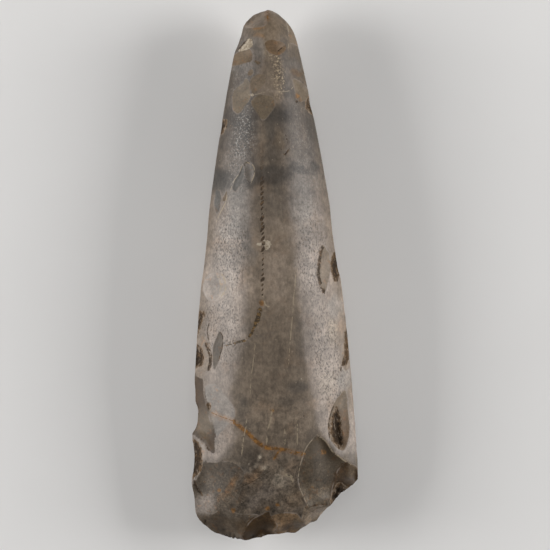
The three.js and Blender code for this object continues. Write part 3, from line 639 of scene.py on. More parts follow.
class AxeHeadColours(bpy.types.PropertyGroup):
    """Colours of the flint and its stains."""

    core: tone("Core", "Clear flint of the ridge", (0.137, 0.106, 0.078))
    patina: tone("Patina", "Bluish weathered flanks", (0.167, 0.137, 0.114))
    # Bloom is both the palest patina and the colour of painted highlights along the scars' rims and of a
    # painted light beside the big grey scar.
    bloom_and_highlight: tone("Bloom", "Palest patina", (0.215, 0.178, 0.15))
    frost: tone("Frost", "Whitest patina", (0.27, 0.232, 0.202))
    beige: tone("Beige", "Warm light flint", (0.19, 0.15, 0.115))
    ash: tone("Ash", "Grey flint of the butt", (0.165, 0.14, 0.118))
    smoke: tone("Smoke", "Dark clouds in the flint", (0.048, 0.042, 0.036))
    fawn: tone("Fawn", "Dull light brown scars", (0.12, 0.091, 0.061))
    pearl: tone("Pearl", "Pale bluish scars", (0.185, 0.163, 0.143))
    slate: tone("Slate", "Bluish dark scars", (0.078, 0.071, 0.063))
    olive: tone("Olive", "Greenish brown scars", (0.082, 0.064, 0.047))
    moss: tone("Moss", "Dark greenish grey scars", (0.063, 0.046, 0.029))
    tan: tone("Tan", "Light brown scars", (0.14, 0.105, 0.072))
    amber: tone("Amber", "Clear yellowish brown scars", (0.145, 0.093, 0.052))
    brown: tone("Brown", "Brown scars", (0.105, 0.072, 0.042))
    umber: tone("Umber", "Dark brown scars", (0.046, 0.026, 0.011))
    rust: tone("Rust", "Iron stains", (0.215, 0.1, 0.025))
    skin: tone("Skin", "Old rough skin of the nodule", (0.1, 0.06, 0.03))
    crust: tone("Crust", "Pale crust on the old skin", (0.235, 0.185, 0.14))
    dirt: tone("Dirt", "Earth in cracks and holes", (0.025, 0.014, 0.006))
    chalk: tone("Chalk", "Chalk and fossil shell", (0.36, 0.305, 0.235))


class AxeHeadStage(bpy.types.PropertyGroup):
    """The studio round the stone."""

    floor: tone("Floor", "Pale floor", (0.72, 0.71, 0.7))
    side_power: bpy.props.FloatProperty(
        name="Side lights", description="Power of each side light in watts", default=11.0, unit="POWER"
    )
    top_power: bpy.props.FloatProperty(
        name="Top light", description="Power of the weak overhead light in watts", default=1.6, unit="POWER"
    )
    distance: bpy.props.FloatProperty(
        name="Camera distance", description="From the lens to the stone's rim", default=0.9, unit="LENGTH"
    )
    view_height: bpy.props.FloatProperty(
        name="View height",
        description="What the picture covers at the stone's rim",
        default=0.22,
        unit="LENGTH",
    )
    roll: bpy.props.FloatProperty(
        name="Roll", description="Turn of the picture", default=math.radians(-1.07), subtype="ANGLE"
    )


# Reading and writing a mesh as arrays


def read_vertices(mesh, kind):
    """What each vertex has of a kind: "co" for its place in metres, "normal" for its direction outwards."""
    flat = np.empty(len(mesh.vertices) * 3, np.float32)
    mesh.vertices.foreach_get(kind, flat)
    return flat.reshape(-1, 3).astype(float)


def write_points(mesh, points):
    """Moves the mesh's vertices to points in millimetres."""
    mesh.vertices.foreach_set("co", (points * MM).astype(np.float32).ravel())
    mesh.update()


def write_layer(mesh, name, values):
    """Keeps a number or a colour for each vertex under a name that materials read."""
    if values.ndim == 1:
        layer = mesh.attributes.new(name, "FLOAT", "POINT")
        layer.data.foreach_set("value", values.astype(np.float32))
    else:
        layer = mesh.attributes.new(name, "FLOAT_COLOR", "POINT")
        opaque_values = np.column_stack([values, np.ones(len(values))])
        layer.data.foreach_set("color", opaque_values.astype(np.float32).ravel())


def smooth_step(value, low, high):
    """Rises from 0 at low to 1 at high."""
    t = np.clip((value - low) / (high - low), 0.0, 1.0)
    return t * t * (3 - 2 * t)


def dished(past, slope):
    """From 0 at an outline to 1 at a slope's width inside it, steepest at the outline."""
    return 1 - (1 - np.clip(-past / slope, 0, 1)) ** 2


def noise_field(points, size, octaves, seed):
    """Noise about zero for each point, with features of a size in millimetres."""
    places = (points / size + seed).tolist()
    return np.array([noise.fractal(place, 0.7, 2.0, octaves) for place in places])


def mixed(first, second, share):
    """One colour turned into another by a share for each vertex."""
    return first + (second - first) * share[:, None]


# The ground blank

NEAREST_TIP = 0.5
SWEEP_PASSES = 6


def rounded_butt(distance):
    """From 0 at the butt tip to 1 where the sides begin."""
    return np.sqrt(1 - (1 - np.clip(distance / BUTT_ROUND, 0, 1)) ** 2)


def half_width(distance):
    """Half the blank's width at a distance from the butt tip."""
    t = (distance - BUTT_ROUND) / (LENGTH - BUTT_ROUND)
    bend = 2 * (BUTT_WIDTH - 2 * MIDDLE_WIDTH + BLADE_WIDTH)
    side = BUTT_WIDTH + (BLADE_WIDTH - BUTT_WIDTH - bend) * t + bend * t * t
    return side / 2 * rounded_butt(distance)


def half_thickness(distance):
    """Half the blank's thickness on its centre line."""
    to_blade = np.clip((distance - THICKEST_AT) / (LENGTH - THICKEST_AT), 0, 1)
    blade = THICKNESS - (THICKNESS - BLADE_THICKNESS) * to_blade**BLADE_TAPER
    to_butt = np.clip(1 - distance / THICKEST_AT, 0, 1)
    butt = (THICKNESS - (THICKNESS - BUTT_THICKNESS) * to_butt**2) * rounded_butt(distance)
    return np.where(distance > THICKEST_AT, blade, butt) / 2


def on_blank(places):
    """Each place's share of the half width, and the height there of a ground face over the middle plane."""
    along, across = places.T
    distance = along
    for _ in range(SWEEP_PASSES):
        distance = np.clip(distance, NEAREST_TIP, LENGTH)
        share = np.clip(np.abs(across) / half_width(distance), 0, 1)
        sweep = smooth_step(distance, LENGTH - SWEEP_LENGTH, LENGTH)
        distance = along + EDGE_SWEEP * share**4 * sweep
    distance = np.clip(distance, NEAREST_TIP, LENGTH)
    rim = SIDE_HEIGHT / 2 * rounded_butt(distance)
    return share, rim + (half_thickness(distance) - rim) * (1 - share**CROWN)


# Outlines and lines on the stone

STEPS_IN_SPAN = 8
SHEET_POWER = 3
LEAST_APART = 0.05


def smooth_curve(knots, closed):
    """Points on a smooth curve through the knots."""
    knots = np.array(knots, float)
    if closed:
        before, start, end, after = (np.roll(knots, shift, 0) for shift in (1, 0, -1, -2))
    else:
        before, start, end = np.vstack([knots[:1], knots[:-2]]), knots[:-1], knots[1:]
        after = np.vstack([knots[2:], knots[-1:]])
    t = np.arange(STEPS_IN_SPAN)[:, None, None] / STEPS_IN_SPAN
    curve = start + t * (end - before) / 2
    curve = curve + t**2 * (2 * before - 5 * start + 4 * end - after) / 2
    curve = curve + t**3 * (3 * start - before - 3 * end + after) / 2
    curve = curve.transpose(1, 0, 2).reshape(-1, 2)
    return np.vstack([curve, knots[:1] if closed else knots[-1:]])


def to_line(places, line):
    """Each place's distance from a line, the same with its side as the sign, and its run along the line."""
    start, step = line[:-1], np.diff(line, axis=0)
    length = np.linalg.norm(step, axis=1)
    run_before = np.cumsum(length) - length
    gap = places[:, None] - start
    share = np.clip((gap * step).sum(2) / length**2, 0, 1)
    apart = np.linalg.norm(gap - share[..., None] * step, axis=2)
    nearest = apart.argmin(1)
    each = np.arange(len(places))
    side = step[nearest, 0] * gap[each, nearest, 1] - step[nearest, 1] * gap[each, nearest, 0]
    run = run_before[nearest] + share[each, nearest] * length[nearest]
    return apart[each, nearest], apart[each, nearest] * np.sign(side), run


def inside(places, line):
    """Whether each place lies inside a closed line."""
    start, end = line[:-1], line[1:]
    passes = (start[:, 0] > places[:, :1]) != (end[:, 0] > places[:, :1])
    slope = (end[:, 1] - start[:, 1]) / np.where(end[:, 0] == start[:, 0], 1, end[:, 0] - start[:, 0])
    crossing = start[:, 1] + (places[:, :1] - start[:, 0]) * slope
    return (passes & (places[:, 1:] < crossing)).sum(1) % 2 == 1


def close_to(places, line, reach):
    """Which places lie in a line's box or within reach of it."""
    return ((places > line.min(0) - reach) & (places < line.max(0) + reach)).all(1)


def past_outline(places, outline):
    """How far each place lies outside an outline in millimetres, or inside it as a negative number."""
    line = smooth_curve(outline, closed=True)
    near = np.flatnonzero(close_to(places, line, FAR / 2))
    past = np.full(len(places), FAR)
    apart = to_line(places[near], line)[0]
    past[near] = np.where(inside(places[near], line), -apart, apart)
    return past


def stretched_sheet(places, line, heights):
    """The height at each place of a sheet stretched over a closed line with the given heights."""
    apart = np.linalg.norm(places[:, None] - line, axis=2) + LEAST_APART
    weight = np.linalg.norm(np.diff(line, axis=0, append=line[1:2]), axis=1) / apart**SHEET_POWER
    return (weight * heights).sum(1) / weight.sum(1)


def moved_outline(moved):
    """The scar or pocket that a moved one stands for, with its outline turned, sized and put in place."""
    source = {scar.name: scar for scar in SCARS + POCKETS}[moved.name]
    knots = np.array(source.outline)
    knots = (knots - knots.mean(0)) * moved.size
    turn = math.radians(moved.turn)
    turned = knots @ np.array([[math.cos(turn), math.sin(turn)], [-math.sin(turn), math.cos(turn)]])
    return source._replace(face=UNDER, outline=turned + (moved.along, moved.across))


def on_both_faces(marks, used_again):
    """Scars or pockets as listed, and those of them used again on the under face."""
    return marks + tuple(moved_outline(moved) for moved in used_again)


# Shaping

# How much two faces' directions differ across a ridge that is kept
RIDGE = 0.2


def select_only(piece):
    """Selects one object and makes it active."""
    bpy.ops.object.select_all(action="DESELECT")
    piece.select_set(True)
    bpy.context.view_layer.objects.active = piece


def copy_of_node(name):
    """A separate, merged copy of a node of the solid, with no parent and no material."""
    select_only(frame["nodes"][name])
    bpy.ops.object.duplicate()
    piece = bpy.context.active_object
    bpy.ops.object.parent_clear(type="CLEAR_KEEP_TRANSFORM")
    for key in list(piece.keys()):
        del piece[key]
    piece.data.materials.clear()
    bpy.ops.object.mode_set(mode="EDIT")
    bpy.ops.mesh.select_all(action="SELECT")
    bpy.ops.mesh.remove_doubles(threshold=1e-6)
    bpy.ops.object.mode_set(mode="OBJECT")
    return piece


def voxel_remesh(piece, cell):
    """Gives the piece an even skin of small quads."""
    select_only(piece)
    remesh = piece.modifiers.new("even skin", "REMESH")
    remesh.mode = "VOXEL"
    remesh.voxel_size = cell
    bpy.ops.object.modifier_apply(modifier=remesh.name)


def quads_of(mesh):
    """The corners of each face of a mesh of quads, and the pairs of faces that share an edge."""
    corners = np.empty(len(mesh.loops), np.int32)
    mesh.loops.foreach_get("vertex_index", corners)
    edges = np.empty(len(mesh.loops), np.int32)
    mesh.loops.foreach_get("edge_index", edges)
    order = np.argsort(edges, kind="stable")
    pairs = order.reshape(-1, 2) // 4
    return corners.reshape(-1, 4), pairs


def even_out(piece, passes):
    """Evens out flat facets and keeps the ridges between scars, by smoothing the faces' normals."""
    mesh = piece.data
    points = read_vertices(mesh, "co") / MM
    quads, pairs = quads_of(mesh)
    first, second = pairs.T
    diagonals = points[quads[:, 2]] - points[quads[:, 0]], points[quads[:, 3]] - points[quads[:, 1]]
    normals = np.cross(*diagonals)
    normals /= np.linalg.norm(normals, axis=1, keepdims=True)
    for _ in range(passes):
        apart = ((normals[first] - normals[second]) ** 2).sum(1)
        weight = np.exp(-apart / RIDGE**2)
        for axis in range(3):
            there = normals[:, axis].copy()
            there += np.bincount(first, weight * normals[second, axis], len(quads))
            there += np.bincount(second, weight * normals[first, axis], len(quads))
            normals[:, axis] = there
        normals /= np.linalg.norm(normals, axis=1, keepdims=True)
    corner_count = np.bincount(quads.ravel(), minlength=len(points))
    for _ in range(passes // 2):
        centres = points[quads].mean(1)
        lift = ((centres[:, None] - points[quads]) * normals[:, None]).sum(2)
        moves = (lift[..., None] * normals[:, None]).reshape(-1, 3)
        for axis in range(3):
            total = np.bincount(quads.ravel(), moves[:, axis], len(points))
            points[:, axis] += total / corner_count
    write_points(mesh, points)


class Surface:
    """The stone's vertices as places on its two faces, and what the marks do to them.

    A vertex is shaped by the scars and pockets of its own face. The upper face's marks also colour a little
    of the under face's rim, down to an uneven line.
    """

    def __init__(self, mesh):
        self.mesh = mesh
        self.points = read_vertices(mesh, "co") / MM
        butt = cad_box[0][1] / MM + LENGTH
        self.places = np.column_stack([butt - self.points[:, 1], self.points[:, 0]])
        self.middle = THICKNESS / 2 - BELLY_FLAT
        self.face = np.where(self.points[:, 2] > self.middle, UPPER, UNDER)
        over = self.points[:, 2] - self.middle + noise_field(self.points, 5, 2, 21.0) * SWAY
        self.marked = np.where(over > MARKS_END, UPPER, UNDER)
        self.upper = smooth_step(over, *CLOUDS_END)
        self.share, self.blank = on_blank(self.places)
        self.wobble = noise_field(self.points, 2.4, 2, 5.0) * 0.16 + noise_field(self.points, 7, 2, 9.0) * 0.2
        self.scars = self.with_distances(on_both_faces(SCARS, UNDER_SCARS))
        self.pockets = self.with_distances(on_both_faces(POCKETS, UNDER_POCKETS))
        self.trails = {kind: self.nearest_trail(kind) for kind in ("dash", "vein", "iron", "pale", "crack")}

    def with_distances(self, marks):
        """Each scar or pocket with how far each vertex lies outside its outline, FAR on the other face."""
        pairs = []
        for mark in marks:
            past = past_outline(self.places, mark.outline)
            past = np.where(self.marked == mark.face, past + self.wobble * (past < FAR), FAR)
            pairs.append((mark, past))
        return pairs

    def rim_heights(self, line, face, height):
        """The present height of a face along a line, and which of the line's points lie outside the stone."""
        near = np.flatnonzero(close_to(self.places, line, RIM_REACH) & (self.face == face))
        nearest = [near[np.abs(self.places[near] - place).sum(1).argmin()] for place in line]
        outside = np.abs(self.places[nearest] - line).sum(1) > OUTSIDE_BY
        land = np.where(line[:, 0] > BROKEN_FROM, EDGE_LAND, SIDE_LAND)
        return np.where(outside, land, height[nearest]), outside

    def strike(self, scar, past, height):
        """Dishes a scar from its outline, under a sheet stretched to where the flake ran out, if it did."""
        here = np.flatnonzero((past < 0) & (self.face == scar.face))
        dish = scar.deep * dished(past[here], scar.slope)
        line = smooth_curve(scar.outline, closed=True)
        rim, outside = self.rim_heights(line, scar.face, height)
        if outside.any():
            sheet = stretched_sheet(self.places[here], line, rim)
            height[here] = np.minimum(height[here], sheet - dish)
        else:
            height[here] -= dish

    def press(self, wave):
        """Brings both faces to the ground surface and takes the scars, pockets and lines out of it."""
        waves = noise_field(self.points, 24, 2, 2.0) + 0.3 * noise_field(self.points, 9, 2, 4.0)
        height = self.blank + waves * wave / MM * (1 - self.share**4)
        for scar, past in self.scars:
            self.strike(scar, past, height)
        rough = SKIN_RELIEF * noise_field(self.points, 1.5, 3, 17.0)
        for pocket, past in self.pockets:
            height -= dished(past, pocket.slope) * (self.face == pocket.face) * (pocket.deep + rough)
        for apart, _, _, cut in self.trails.values():
            height -= cut * smooth_step(apart, *BEVEL)
        height = np.maximum(height, EDGE_LAND)
        blade = self.places[:, 0] > BROKEN_FROM
        bites = smooth_step(noise_field(self.points * BITE_STRETCH, BITE_SIZE, 2, 31.0), 0.0, 0.5)
        self.points[:, 1] += BITE_DEPTH * bites * blade * smooth_step(height, BITTEN_HEIGHT, EDGE_LAND)
        level = np.maximum(self.middle + self.face * height, 0)
        rise = np.abs(read_vertices(self.mesh, "normal")[:, 2])
        wall = (rise < WALL_RISE) & (blade | (self.share > WALL_SHARE))
        beyond = (self.points[:, 2] - level) * self.face > 0
        self.points[:, 2] = np.where(wall & ~beyond, self.points[:, 2], level)
        write_points(self.mesh, self.points)

    def mark(self):
        """Keeps how far the lines, spots and pockets are as layers for the material."""
        for kind, (apart, off, run, _) in self.trails.items():
            write_layer(self.mesh, kind + " near", apart)
            write_layer(self.mesh, kind + " off", off)
            if kind == "dash":
                write_layer(self.mesh, "dash run", run)
        for kind in SPOTS:
            write_layer(self.mesh, kind, self.nearest_spot(kind))
        write_layer(self.mesh, "pocket", np.min([past for _, past in self.pockets], axis=0))

    def nearest_trail(self, kind):
        """For each vertex and the nearest line of a kind: how far it is, the same with its side as the sign
        and as a share of the line's half width, the run along the line, and how deep it is cut."""
        apart = np.full(len(self.places), FAR)
        off = np.full(len(self.places), FAR)
        run = np.zeros(len(self.places))
        cut = np.zeros(len(self.places))
        for trail in TRAILS:
            if trail.kind != kind:
                continue
            line = smooth_curve(trail.points, closed=False)
            near = np.flatnonzero(close_to(self.places, line, LINE_REACH) & (self.marked == UPPER))
            here, side, along = to_line(self.places[near], line)
            closer = here < apart[near]
            near = near[closer]
            apart[near] = here[closer]
            off[near] = side[closer] / trail.half
            run[near] = along[closer]
            cut[near] = trail.cut
        return apart, off, run, cut

    def nearest_spot(self, kind):
        """How far each vertex lies outside the spots and outlined patches of a kind."""
        past = np.full(len(self.places), FAR)
        for along, across, radius in SPOTS[kind]:
            past = np.minimum(past, np.linalg.norm(self.places - (along, across), axis=1) - radius)
        if kind == "chalk":
            for outline in CHALK:
                past = np.minimum(past, past_outline(self.places, outline))
        return np.where(self.marked == UPPER, past, FAR)

    def cloud(self, cloud):
        """How strongly a cloud covers each vertex, fading out below the upper face."""
        along = self.places[:, 0] - cloud.along + self.drift[0]
        across = self.places[:, 1] - cloud.across + self.drift[1]
        turn = math.radians(cloud.turn)
        forward = (along * math.cos(turn) + across * math.sin(turn)) / cloud.long
        sideways = (across * math.cos(turn) - along * math.sin(turn)) / cloud.wide
        return self.upper * cloud.amount * smooth_step(np.hypot(forward, sideways), *CLOUD_FADE)

    def clouded(self, stone, clouds, colours):
        """A stone's colours with clouds over them."""
        for cloud in clouds:
            stone = mixed(stone, np.array(getattr(colours, cloud.stone)), self.cloud(cloud))
        return stone

    def ground_stone(self, colours):
        """The ground surface's colours, with painted shade on the left rim, and the flanks' share in them."""
        along, across = self.places.T
        borders = (MIDDLE_LEFT, MIDDLE_RIGHT, LEFT_SOFT, RIGHT_SOFT)
        left, right, left_soft, right_soft = (np.interp(along, *zip(*stops)) for stops in borders)
        past = np.maximum((left - across) / left_soft, (across - right) / right_soft) + self.drift[0] * 0.25
        flank = smooth_step(past, -1, 1)
        rim = smooth_step(self.share + self.drift[1] * 0.03, *RIM_ZONE)
        ground = mixed(np.array(colours.core), np.array(colours.patina), flank)
        ground = mixed(ground, np.array(colours.tan), rim * RIM_TAN)
        # Painted shade: the rim on the left side is darkened.
        ground *= np.where(across < 0, 1 - LEFT_RIM_PAINTED_SHADE * rim, 1)[:, None]
        ground = self.clouded(ground, CLOUDS, colours)
        light = [np.interp(along + self.drift[1], *zip(*stops)) for stops in (MIDDLE_LIGHT, FLANK_LIGHT)]
        ground *= (light[0] + (light[1] - light[0]) * flank)[:, None]
        return ground, flank

    def scar_stone(self, ground, colours):
        """Layers with the scars' colours over the ground surface's, and how far each vertex is past them."""
        own = ground.copy()
        past_any = np.full(len(ground), FAR)
        nearest = np.full(len(ground), FAR)
        rim_off = np.full(len(ground), FAR)
        for scar, past in self.scars:
            shown = past < SCAR_MARGIN
            own[shown] = getattr(colours, scar.stone)
            closer = (np.abs(past) < nearest) | (past < 0)
            nearest[closer] = np.abs(past[closer])
            rim_off[closer] = past[closer]
            past_any = np.minimum(past_any, past)
        own = self.clouded(own, SCAR_CLOUDS, colours)
        return {"scar stone": own, "scar": past_any, "rim near": nearest, "rim off": rim_off}

    def paint(self, colours):
        """Keeps the stone's colours, and where its textures show, as layers for the material."""
        self.drift = [noise_field(self.points, 6, 3, seed) * 1.3 for seed in (11.0, 13.0)]
        ground, flank = self.ground_stone(colours)
        layers = {"ground": ground, "flank": flank, **self.scar_stone(ground, colours)}
        for name in ("speckle", "pitted", "mottled", "crystal", "unhighlighted"):
            covers = [self.cloud(cloud) for cloud in TEXTURES if cloud.stone == name]
            layers[name] = np.max(covers, axis=0)
        for name, values in layers.items():
            write_layer(self.mesh, name, values)


class AXEHEAD_OT_stone(bpy.types.Operator):
    """Makes the fine flint stone over the solid"""

    bl_idname = "axehead.stone"
    bl_label = "Flint stone"
    bl_options = {"REGISTER", "UNDO"}

    def execute(self, context):
        sizes = context.scene.axe_head_stone
        stone = copy_of_node(NODE)
        stone.name = PIECE
        stone.data.name = PIECE
        voxel_remesh(stone, sizes.cell)
        even_out(stone, sizes.evening)
        surface = Surface(stone.data)
        surface.press(sizes.wave)
        even_out(stone, sizes.settling)
        surface.mark()
        surface.paint(context.scene.axe_head_colours)
        stone.data.materials.append(flint_material(context.scene.axe_head_colours))
        select_only(stone)
        bpy.ops.object.shade_smooth()
        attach(stone, "root")
        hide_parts(NODE)
        return {"FINISHED"}


# Materials

# Colours that are multiplied by
WARM_TINT = (1.35, 0.95, 0.62)
STAIN_TINT = (1.5, 0.95, 0.55)
HALO_TINT = (1.5, 0.95, 0.5)

# Colours of the finest marks
HAIRLINE = (0.04, 0.03, 0.02)
SCAR_HAIRLINE = (0.035, 0.025, 0.015)
SCAR_FLECK = (0.05, 0.032, 0.018)
SCAR_GRAIN = (0.2, 0.16, 0.11)
FROST_GRAIN = (0.27, 0.25, 0.225)
GREY_DOT = (0.045, 0.042, 0.038)
PIT = (0.07, 0.048, 0.03)
SEED = (0.25, 0.2, 0.15)
CRYSTAL = (0.38, 0.3, 0.2)
DARK_RUST = (0.1, 0.05, 0.016)
DARK_VEIN = (0.035, 0.022, 0.009)
LIGHT_VEIN = (0.13, 0.075, 0.025)
PALE_LINE_AND_HIGHLIGHT = (0.31, 0.25, 0.17)
DULL_CHALK = (0.2, 0.155, 0.105)


class Shading:
    """Adds nodes to a material and wires them up."""

    def __init__(self, name):
        self.material = bpy.data.materials.new(name)
        self.material.use_nodes = True
        self.tree = self.material.node_tree

    def node(self, kind, sockets, **settings):
        """A new node with its sockets fed and its settings set."""
        made = self.tree.nodes.new(kind)
        for key, value in settings.items():
            setattr(made, key, value)
        for key, value in sockets.items():
            self.feed(made.inputs[key], value)
        return made

    def feed(self, socket, value):
        """Links another node's output to a socket, or sets the socket's own value."""
        if isinstance(value, bpy.types.NodeSocket):
            self.tree.links.new(value, socket)
        else:
            socket.default_value = value

    def spread(self, size, stretch):
        """What a texture needs for features of a size in millimetres."""
        place = self.node("ShaderNodeTexCoord", {}).outputs["Object"]
        mapped = self.node("ShaderNodeMapping", {"Vector": place, "Scale": stretch})
        return {"Vector": mapped.outputs[0], "Scale": 1 / (size * MM)}

    def finish(self, colour, roughness, shine, normal=None):
        """The material, once its surface has its colour, roughness, shine and bumps."""
        surface = self.tree.nodes["Principled BSDF"]
        self.feed(surface.inputs["Base Color"], colour)
        self.feed(surface.inputs["Roughness"], roughness)
        self.feed(surface.inputs["Specular IOR Level"], shine)
        if normal is not None:
            self.feed(surface.inputs["Normal"], normal)
        return self.material

    def layer(self, name, output="Fac"):
        """What the surface keeps under a name."""
        return self.node("ShaderNodeAttribute", {}, attribute_name=name).outputs[output]

    def noise(self, size, detail, rough=0.55, stretch=(1, 1, 1)):
        """Noise about a half, with features of a size in millimetres."""
        sockets = {**self.spread(size, stretch), "Detail": detail, "Roughness": rough}
        return self.node("ShaderNodeTexNoise", sockets).outputs["Fac"]

    def patches(self, grain, low, high, start=0.0, end=1.0):
        """Soft patches of a noise, whose size, detail, roughness and stretch are given together."""
        return self.ramp(self.noise(*grain), low, high, start, end)

    def dots(self, size, core, edge, stretch=(1, 1, 1)):
        """Dots scattered a size apart, with their radii as shares of it, and about two in three left out."""
        cells = self.node("ShaderNodeTexVoronoi", self.spread(size, stretch))
        kept = self.ramp(cells.outputs["Color"], 0.5, 0.6)
        return self.times(self.ramp(cells.outputs["Distance"], edge, core), kept)

    def ramp(self, value, low, high, start=0.0, end=1.0):
        """Goes smoothly from start to end while a value goes from low to high."""
        sockets = {"Value": value, "From Min": low, "From Max": high, "To Min": start, "To Max": end}
        return self.node("ShaderNodeMapRange", sockets, interpolation_type="SMOOTHSTEP").outputs[0]

    def math(self, operation, *values):
        sockets = dict(enumerate(values))
        return self.node("ShaderNodeMath", sockets, operation=operation).outputs[0]

    def chain(self, operation, values):
        """One operation over several values, from the first to the last."""
        result = values[0]
        for value in values[1:]:
            result = self.math(operation, result, value)
        return result

    def times(self, *values):
        return self.chain("MULTIPLY", values)

    def plus(self, *values):
        return self.chain("ADD", values)

    def minus(self, *values):
        return self.chain("SUBTRACT", values)

    def most(self, *values):
        return self.chain("MAXIMUM", values)

    def without_sign(self, value):
        return self.math("ABSOLUTE", value)

    def wobble(self, size, height, detail=4.0):
        """Noise between plus and minus about a third of a height."""
        return self.times(self.minus(self.noise(size, detail, 0.65), 0.5), height)

    def scatter(self, number):
        """A steady random number for each whole number."""
        return self.node("ShaderNodeTexWhiteNoise", {"W": number}, noise_dimensions="1D").outputs["Value"]

    def mix(self, factor, first, second, blend="MIX"):
        made = self.node("ShaderNodeMix", {0: factor}, data_type="RGBA", blend_type=blend)
        self.feed(made.inputs[6], opaque(first))
        self.feed(made.inputs[7], opaque(second))
        return made.outputs[2]

    def tint(self, colour, factor):
        """A colour multiplied by another colour or by a number."""
        return self.mix(1.0, colour, factor, "MULTIPLY")


def opaque(colour):
    """A colour with full alpha, or the socket that gives one."""
    if isinstance(colour, bpy.types.NodeSocket):
        return colour
    return (*colour[:3], 1.0)


def mottling(shade, coarse, fine):
    """Light and dark mottles towards the cutting edge, as a factor about 1."""
    large = shade.patches((3.6, 6, 0.65), 0.34, 0.66, -coarse, coarse)
    small = shade.patches((1.0, 3, 0.6), 0.34, 0.66, -fine, fine)
    return shade.plus(shade.times(shade.plus(large, small), shade.layer("mottled")), 1.0)


def hairlines(shade):
    """Fine dark ripples and cracks towards the cutting edge."""
    off = shade.without_sign(shade.minus(shade.noise(4.2, 4, 0.6), 0.5))
    gaps = shade.patches((3, 2), 0.42, 0.6)
    return shade.times(shade.ramp(off, 0.018, 0.006), gaps, shade.layer("mottled"))


def ground_flint(shade):
    """Ground flint: slow clouds, fine grain and streaks, and specks, pits and crystals where they show."""
    cloud = shade.patches((9, 6, 0.65), 0.32, 0.68, 0.8, 1.2)
    marbling = shade.patches((2.6, 5, 0.6), 0.35, 0.65, 0.88, 1.12)
    grain = shade.patches((0.9, 3, 0.65, (1, 0.5, 1)), 0.34, 0.66, 0.86, 1.14)
    sunk = shade.patches((0.6, 2, 0.5, (1, 0.6, 1)), 0.37, 0.48, -0.5, 0.06)
    weathered = shade.times(shade.layer("flank"), shade.plus(shade.times(shade.layer("pitted"), 0.7), 0.2))
    grain = shade.plus(grain, shade.times(sunk, weathered, 1.15))
    streak = shade.patches((1.3, 3, 0.6, (1, 0.08, 1)), 0.3, 0.7, 0.93, 1.07)
    tone = shade.tint(shade.layer("ground", "Color"), shade.times(cloud, marbling, grain, streak))
    warm = shade.patches((8, 4, 0.6), 0.5, 0.72, 0, 0.15)
    tone = shade.mix(warm, tone, shade.tint(tone, WARM_TINT))
    tone = shade.tint(tone, mottling(shade, 0.46, 0.3))
    tone = shade.mix(shade.times(hairlines(shade), 0.5), tone, HAIRLINE)
    speckle = shade.layer("speckle")
    loose = shade.patches((2.6, 3, 0.6), 0.4, 0.6, 0.3, 1)
    frost = shade.patches((0.7, 1, 0.5), 0.53, 0.61)
    tone = shade.mix(shade.times(frost, loose, speckle, 0.85), tone, FROST_GRAIN)
    grey_dots = shade.patches((0.75, 1, 0.5, (1, 0.8, 1)), 0.53, 0.6)
    tone = shade.mix(shade.times(grey_dots, speckle, 0.9), tone, GREY_DOT)
    gather = shade.patches((4, 4, 0.6), 0.36, 0.6, 0.1, 1)
    pits = shade.most(shade.dots(0.8, 0.25, 0.5, (1, 0.6, 1)), shade.dots(1.6, 0.12, 0.3, (1, 0.7, 1)))
    tone = shade.mix(shade.times(pits, gather, shade.layer("pitted"), 0.8), tone, PIT)
    tone = shade.mix(shade.times(shade.dots(2.3, 0.08, 0.15), 0.45), tone, SEED)
    small_crystals = shade.patches((0.7, 1, 0.5), 0.57, 0.65, 0, 0.6)
    crystals = shade.most(shade.dots(1.3, 0.2, 0.4), shade.dots(0.8, 0.25, 0.5), small_crystals)
    return shade.mix(shade.times(crystals, shade.layer("crystal"), 0.8), tone, CRYSTAL)


def scar_flint(shade):
    """Flint in a flake scar: smoother, with slow clouds and a few stained flecks."""
    cloud = shade.patches((5, 5, 0.65), 0.32, 0.68, 0.8, 1.2)
    grain = shade.patches((0.9, 3, 0.6), 0.34, 0.66, 0.88, 1.12)
    shades = shade.times(cloud, grain, mottling(shade, 0.2, 0.26))
    tone = shade.tint(shade.layer("scar stone", "Color"), shades)
    stain = shade.times(shade.patches((2.2, 4, 0.6), 0.56, 0.68), 0.4)
    tone = shade.mix(stain, tone, shade.tint(tone, STAIN_TINT))
    tone = shade.mix(shade.times(hairlines(shade), 0.5), tone, SCAR_HAIRLINE)
    flecks = shade.times(shade.dots(1.2, 0.12, 0.32), shade.layer("mottled"), 0.9)
    tone = shade.mix(flecks, tone, SCAR_FLECK)
    grains = shade.times(shade.dots(1.7, 0.08, 0.24), shade.layer("mottled"), 0.5)
    return shade.mix(grains, tone, SCAR_GRAIN)


def rough_skin(shade, colours, pocket):
    """The nodule's old skin: pale crust at the rim, brown and full of earth further in."""
    inner = shade.ramp(shade.plus(pocket, shade.wobble(2, 2.2)), 0.05, -0.7)
    crust = shade.mix(shade.patches((1.3, 5, 0.7), 0.36, 0.56), colours.skin, colours.crust)
    tone = shade.mix(inner, crust, colours.skin)
    deepest = shade.ramp(shade.plus(pocket, shade.wobble(1.6, 4.5, 5.0)), -0.3, -1.5)
    cracks = shade.patches((1.1, 5, 0.7, (1, 0.3, 1)), 0.48, 0.4, 0, 0.85)
    tone = shade.mix(shade.most(deepest, cracks), tone, colours.dirt)
    flecks = shade.patches((1.2, 4, 0.65, (1, 0.4, 1)), 0.53, 0.66, 0, 0.6)
    return shade.mix(flecks, tone, colours.crust)


def line_mask(shade, kind, fray, gaps):
    """Where a line of a kind shows, with uneven borders and gaps."""
    off = shade.plus(shade.without_sign(shade.layer(kind + " off")), fray)
    near = shade.ramp(shade.layer(kind + " near"), 1.2, 0.8)
    return shade.times(shade.ramp(off, 1.25, 0.75), near, shade.patches((1.7, 2), gaps, gaps + 0.08))


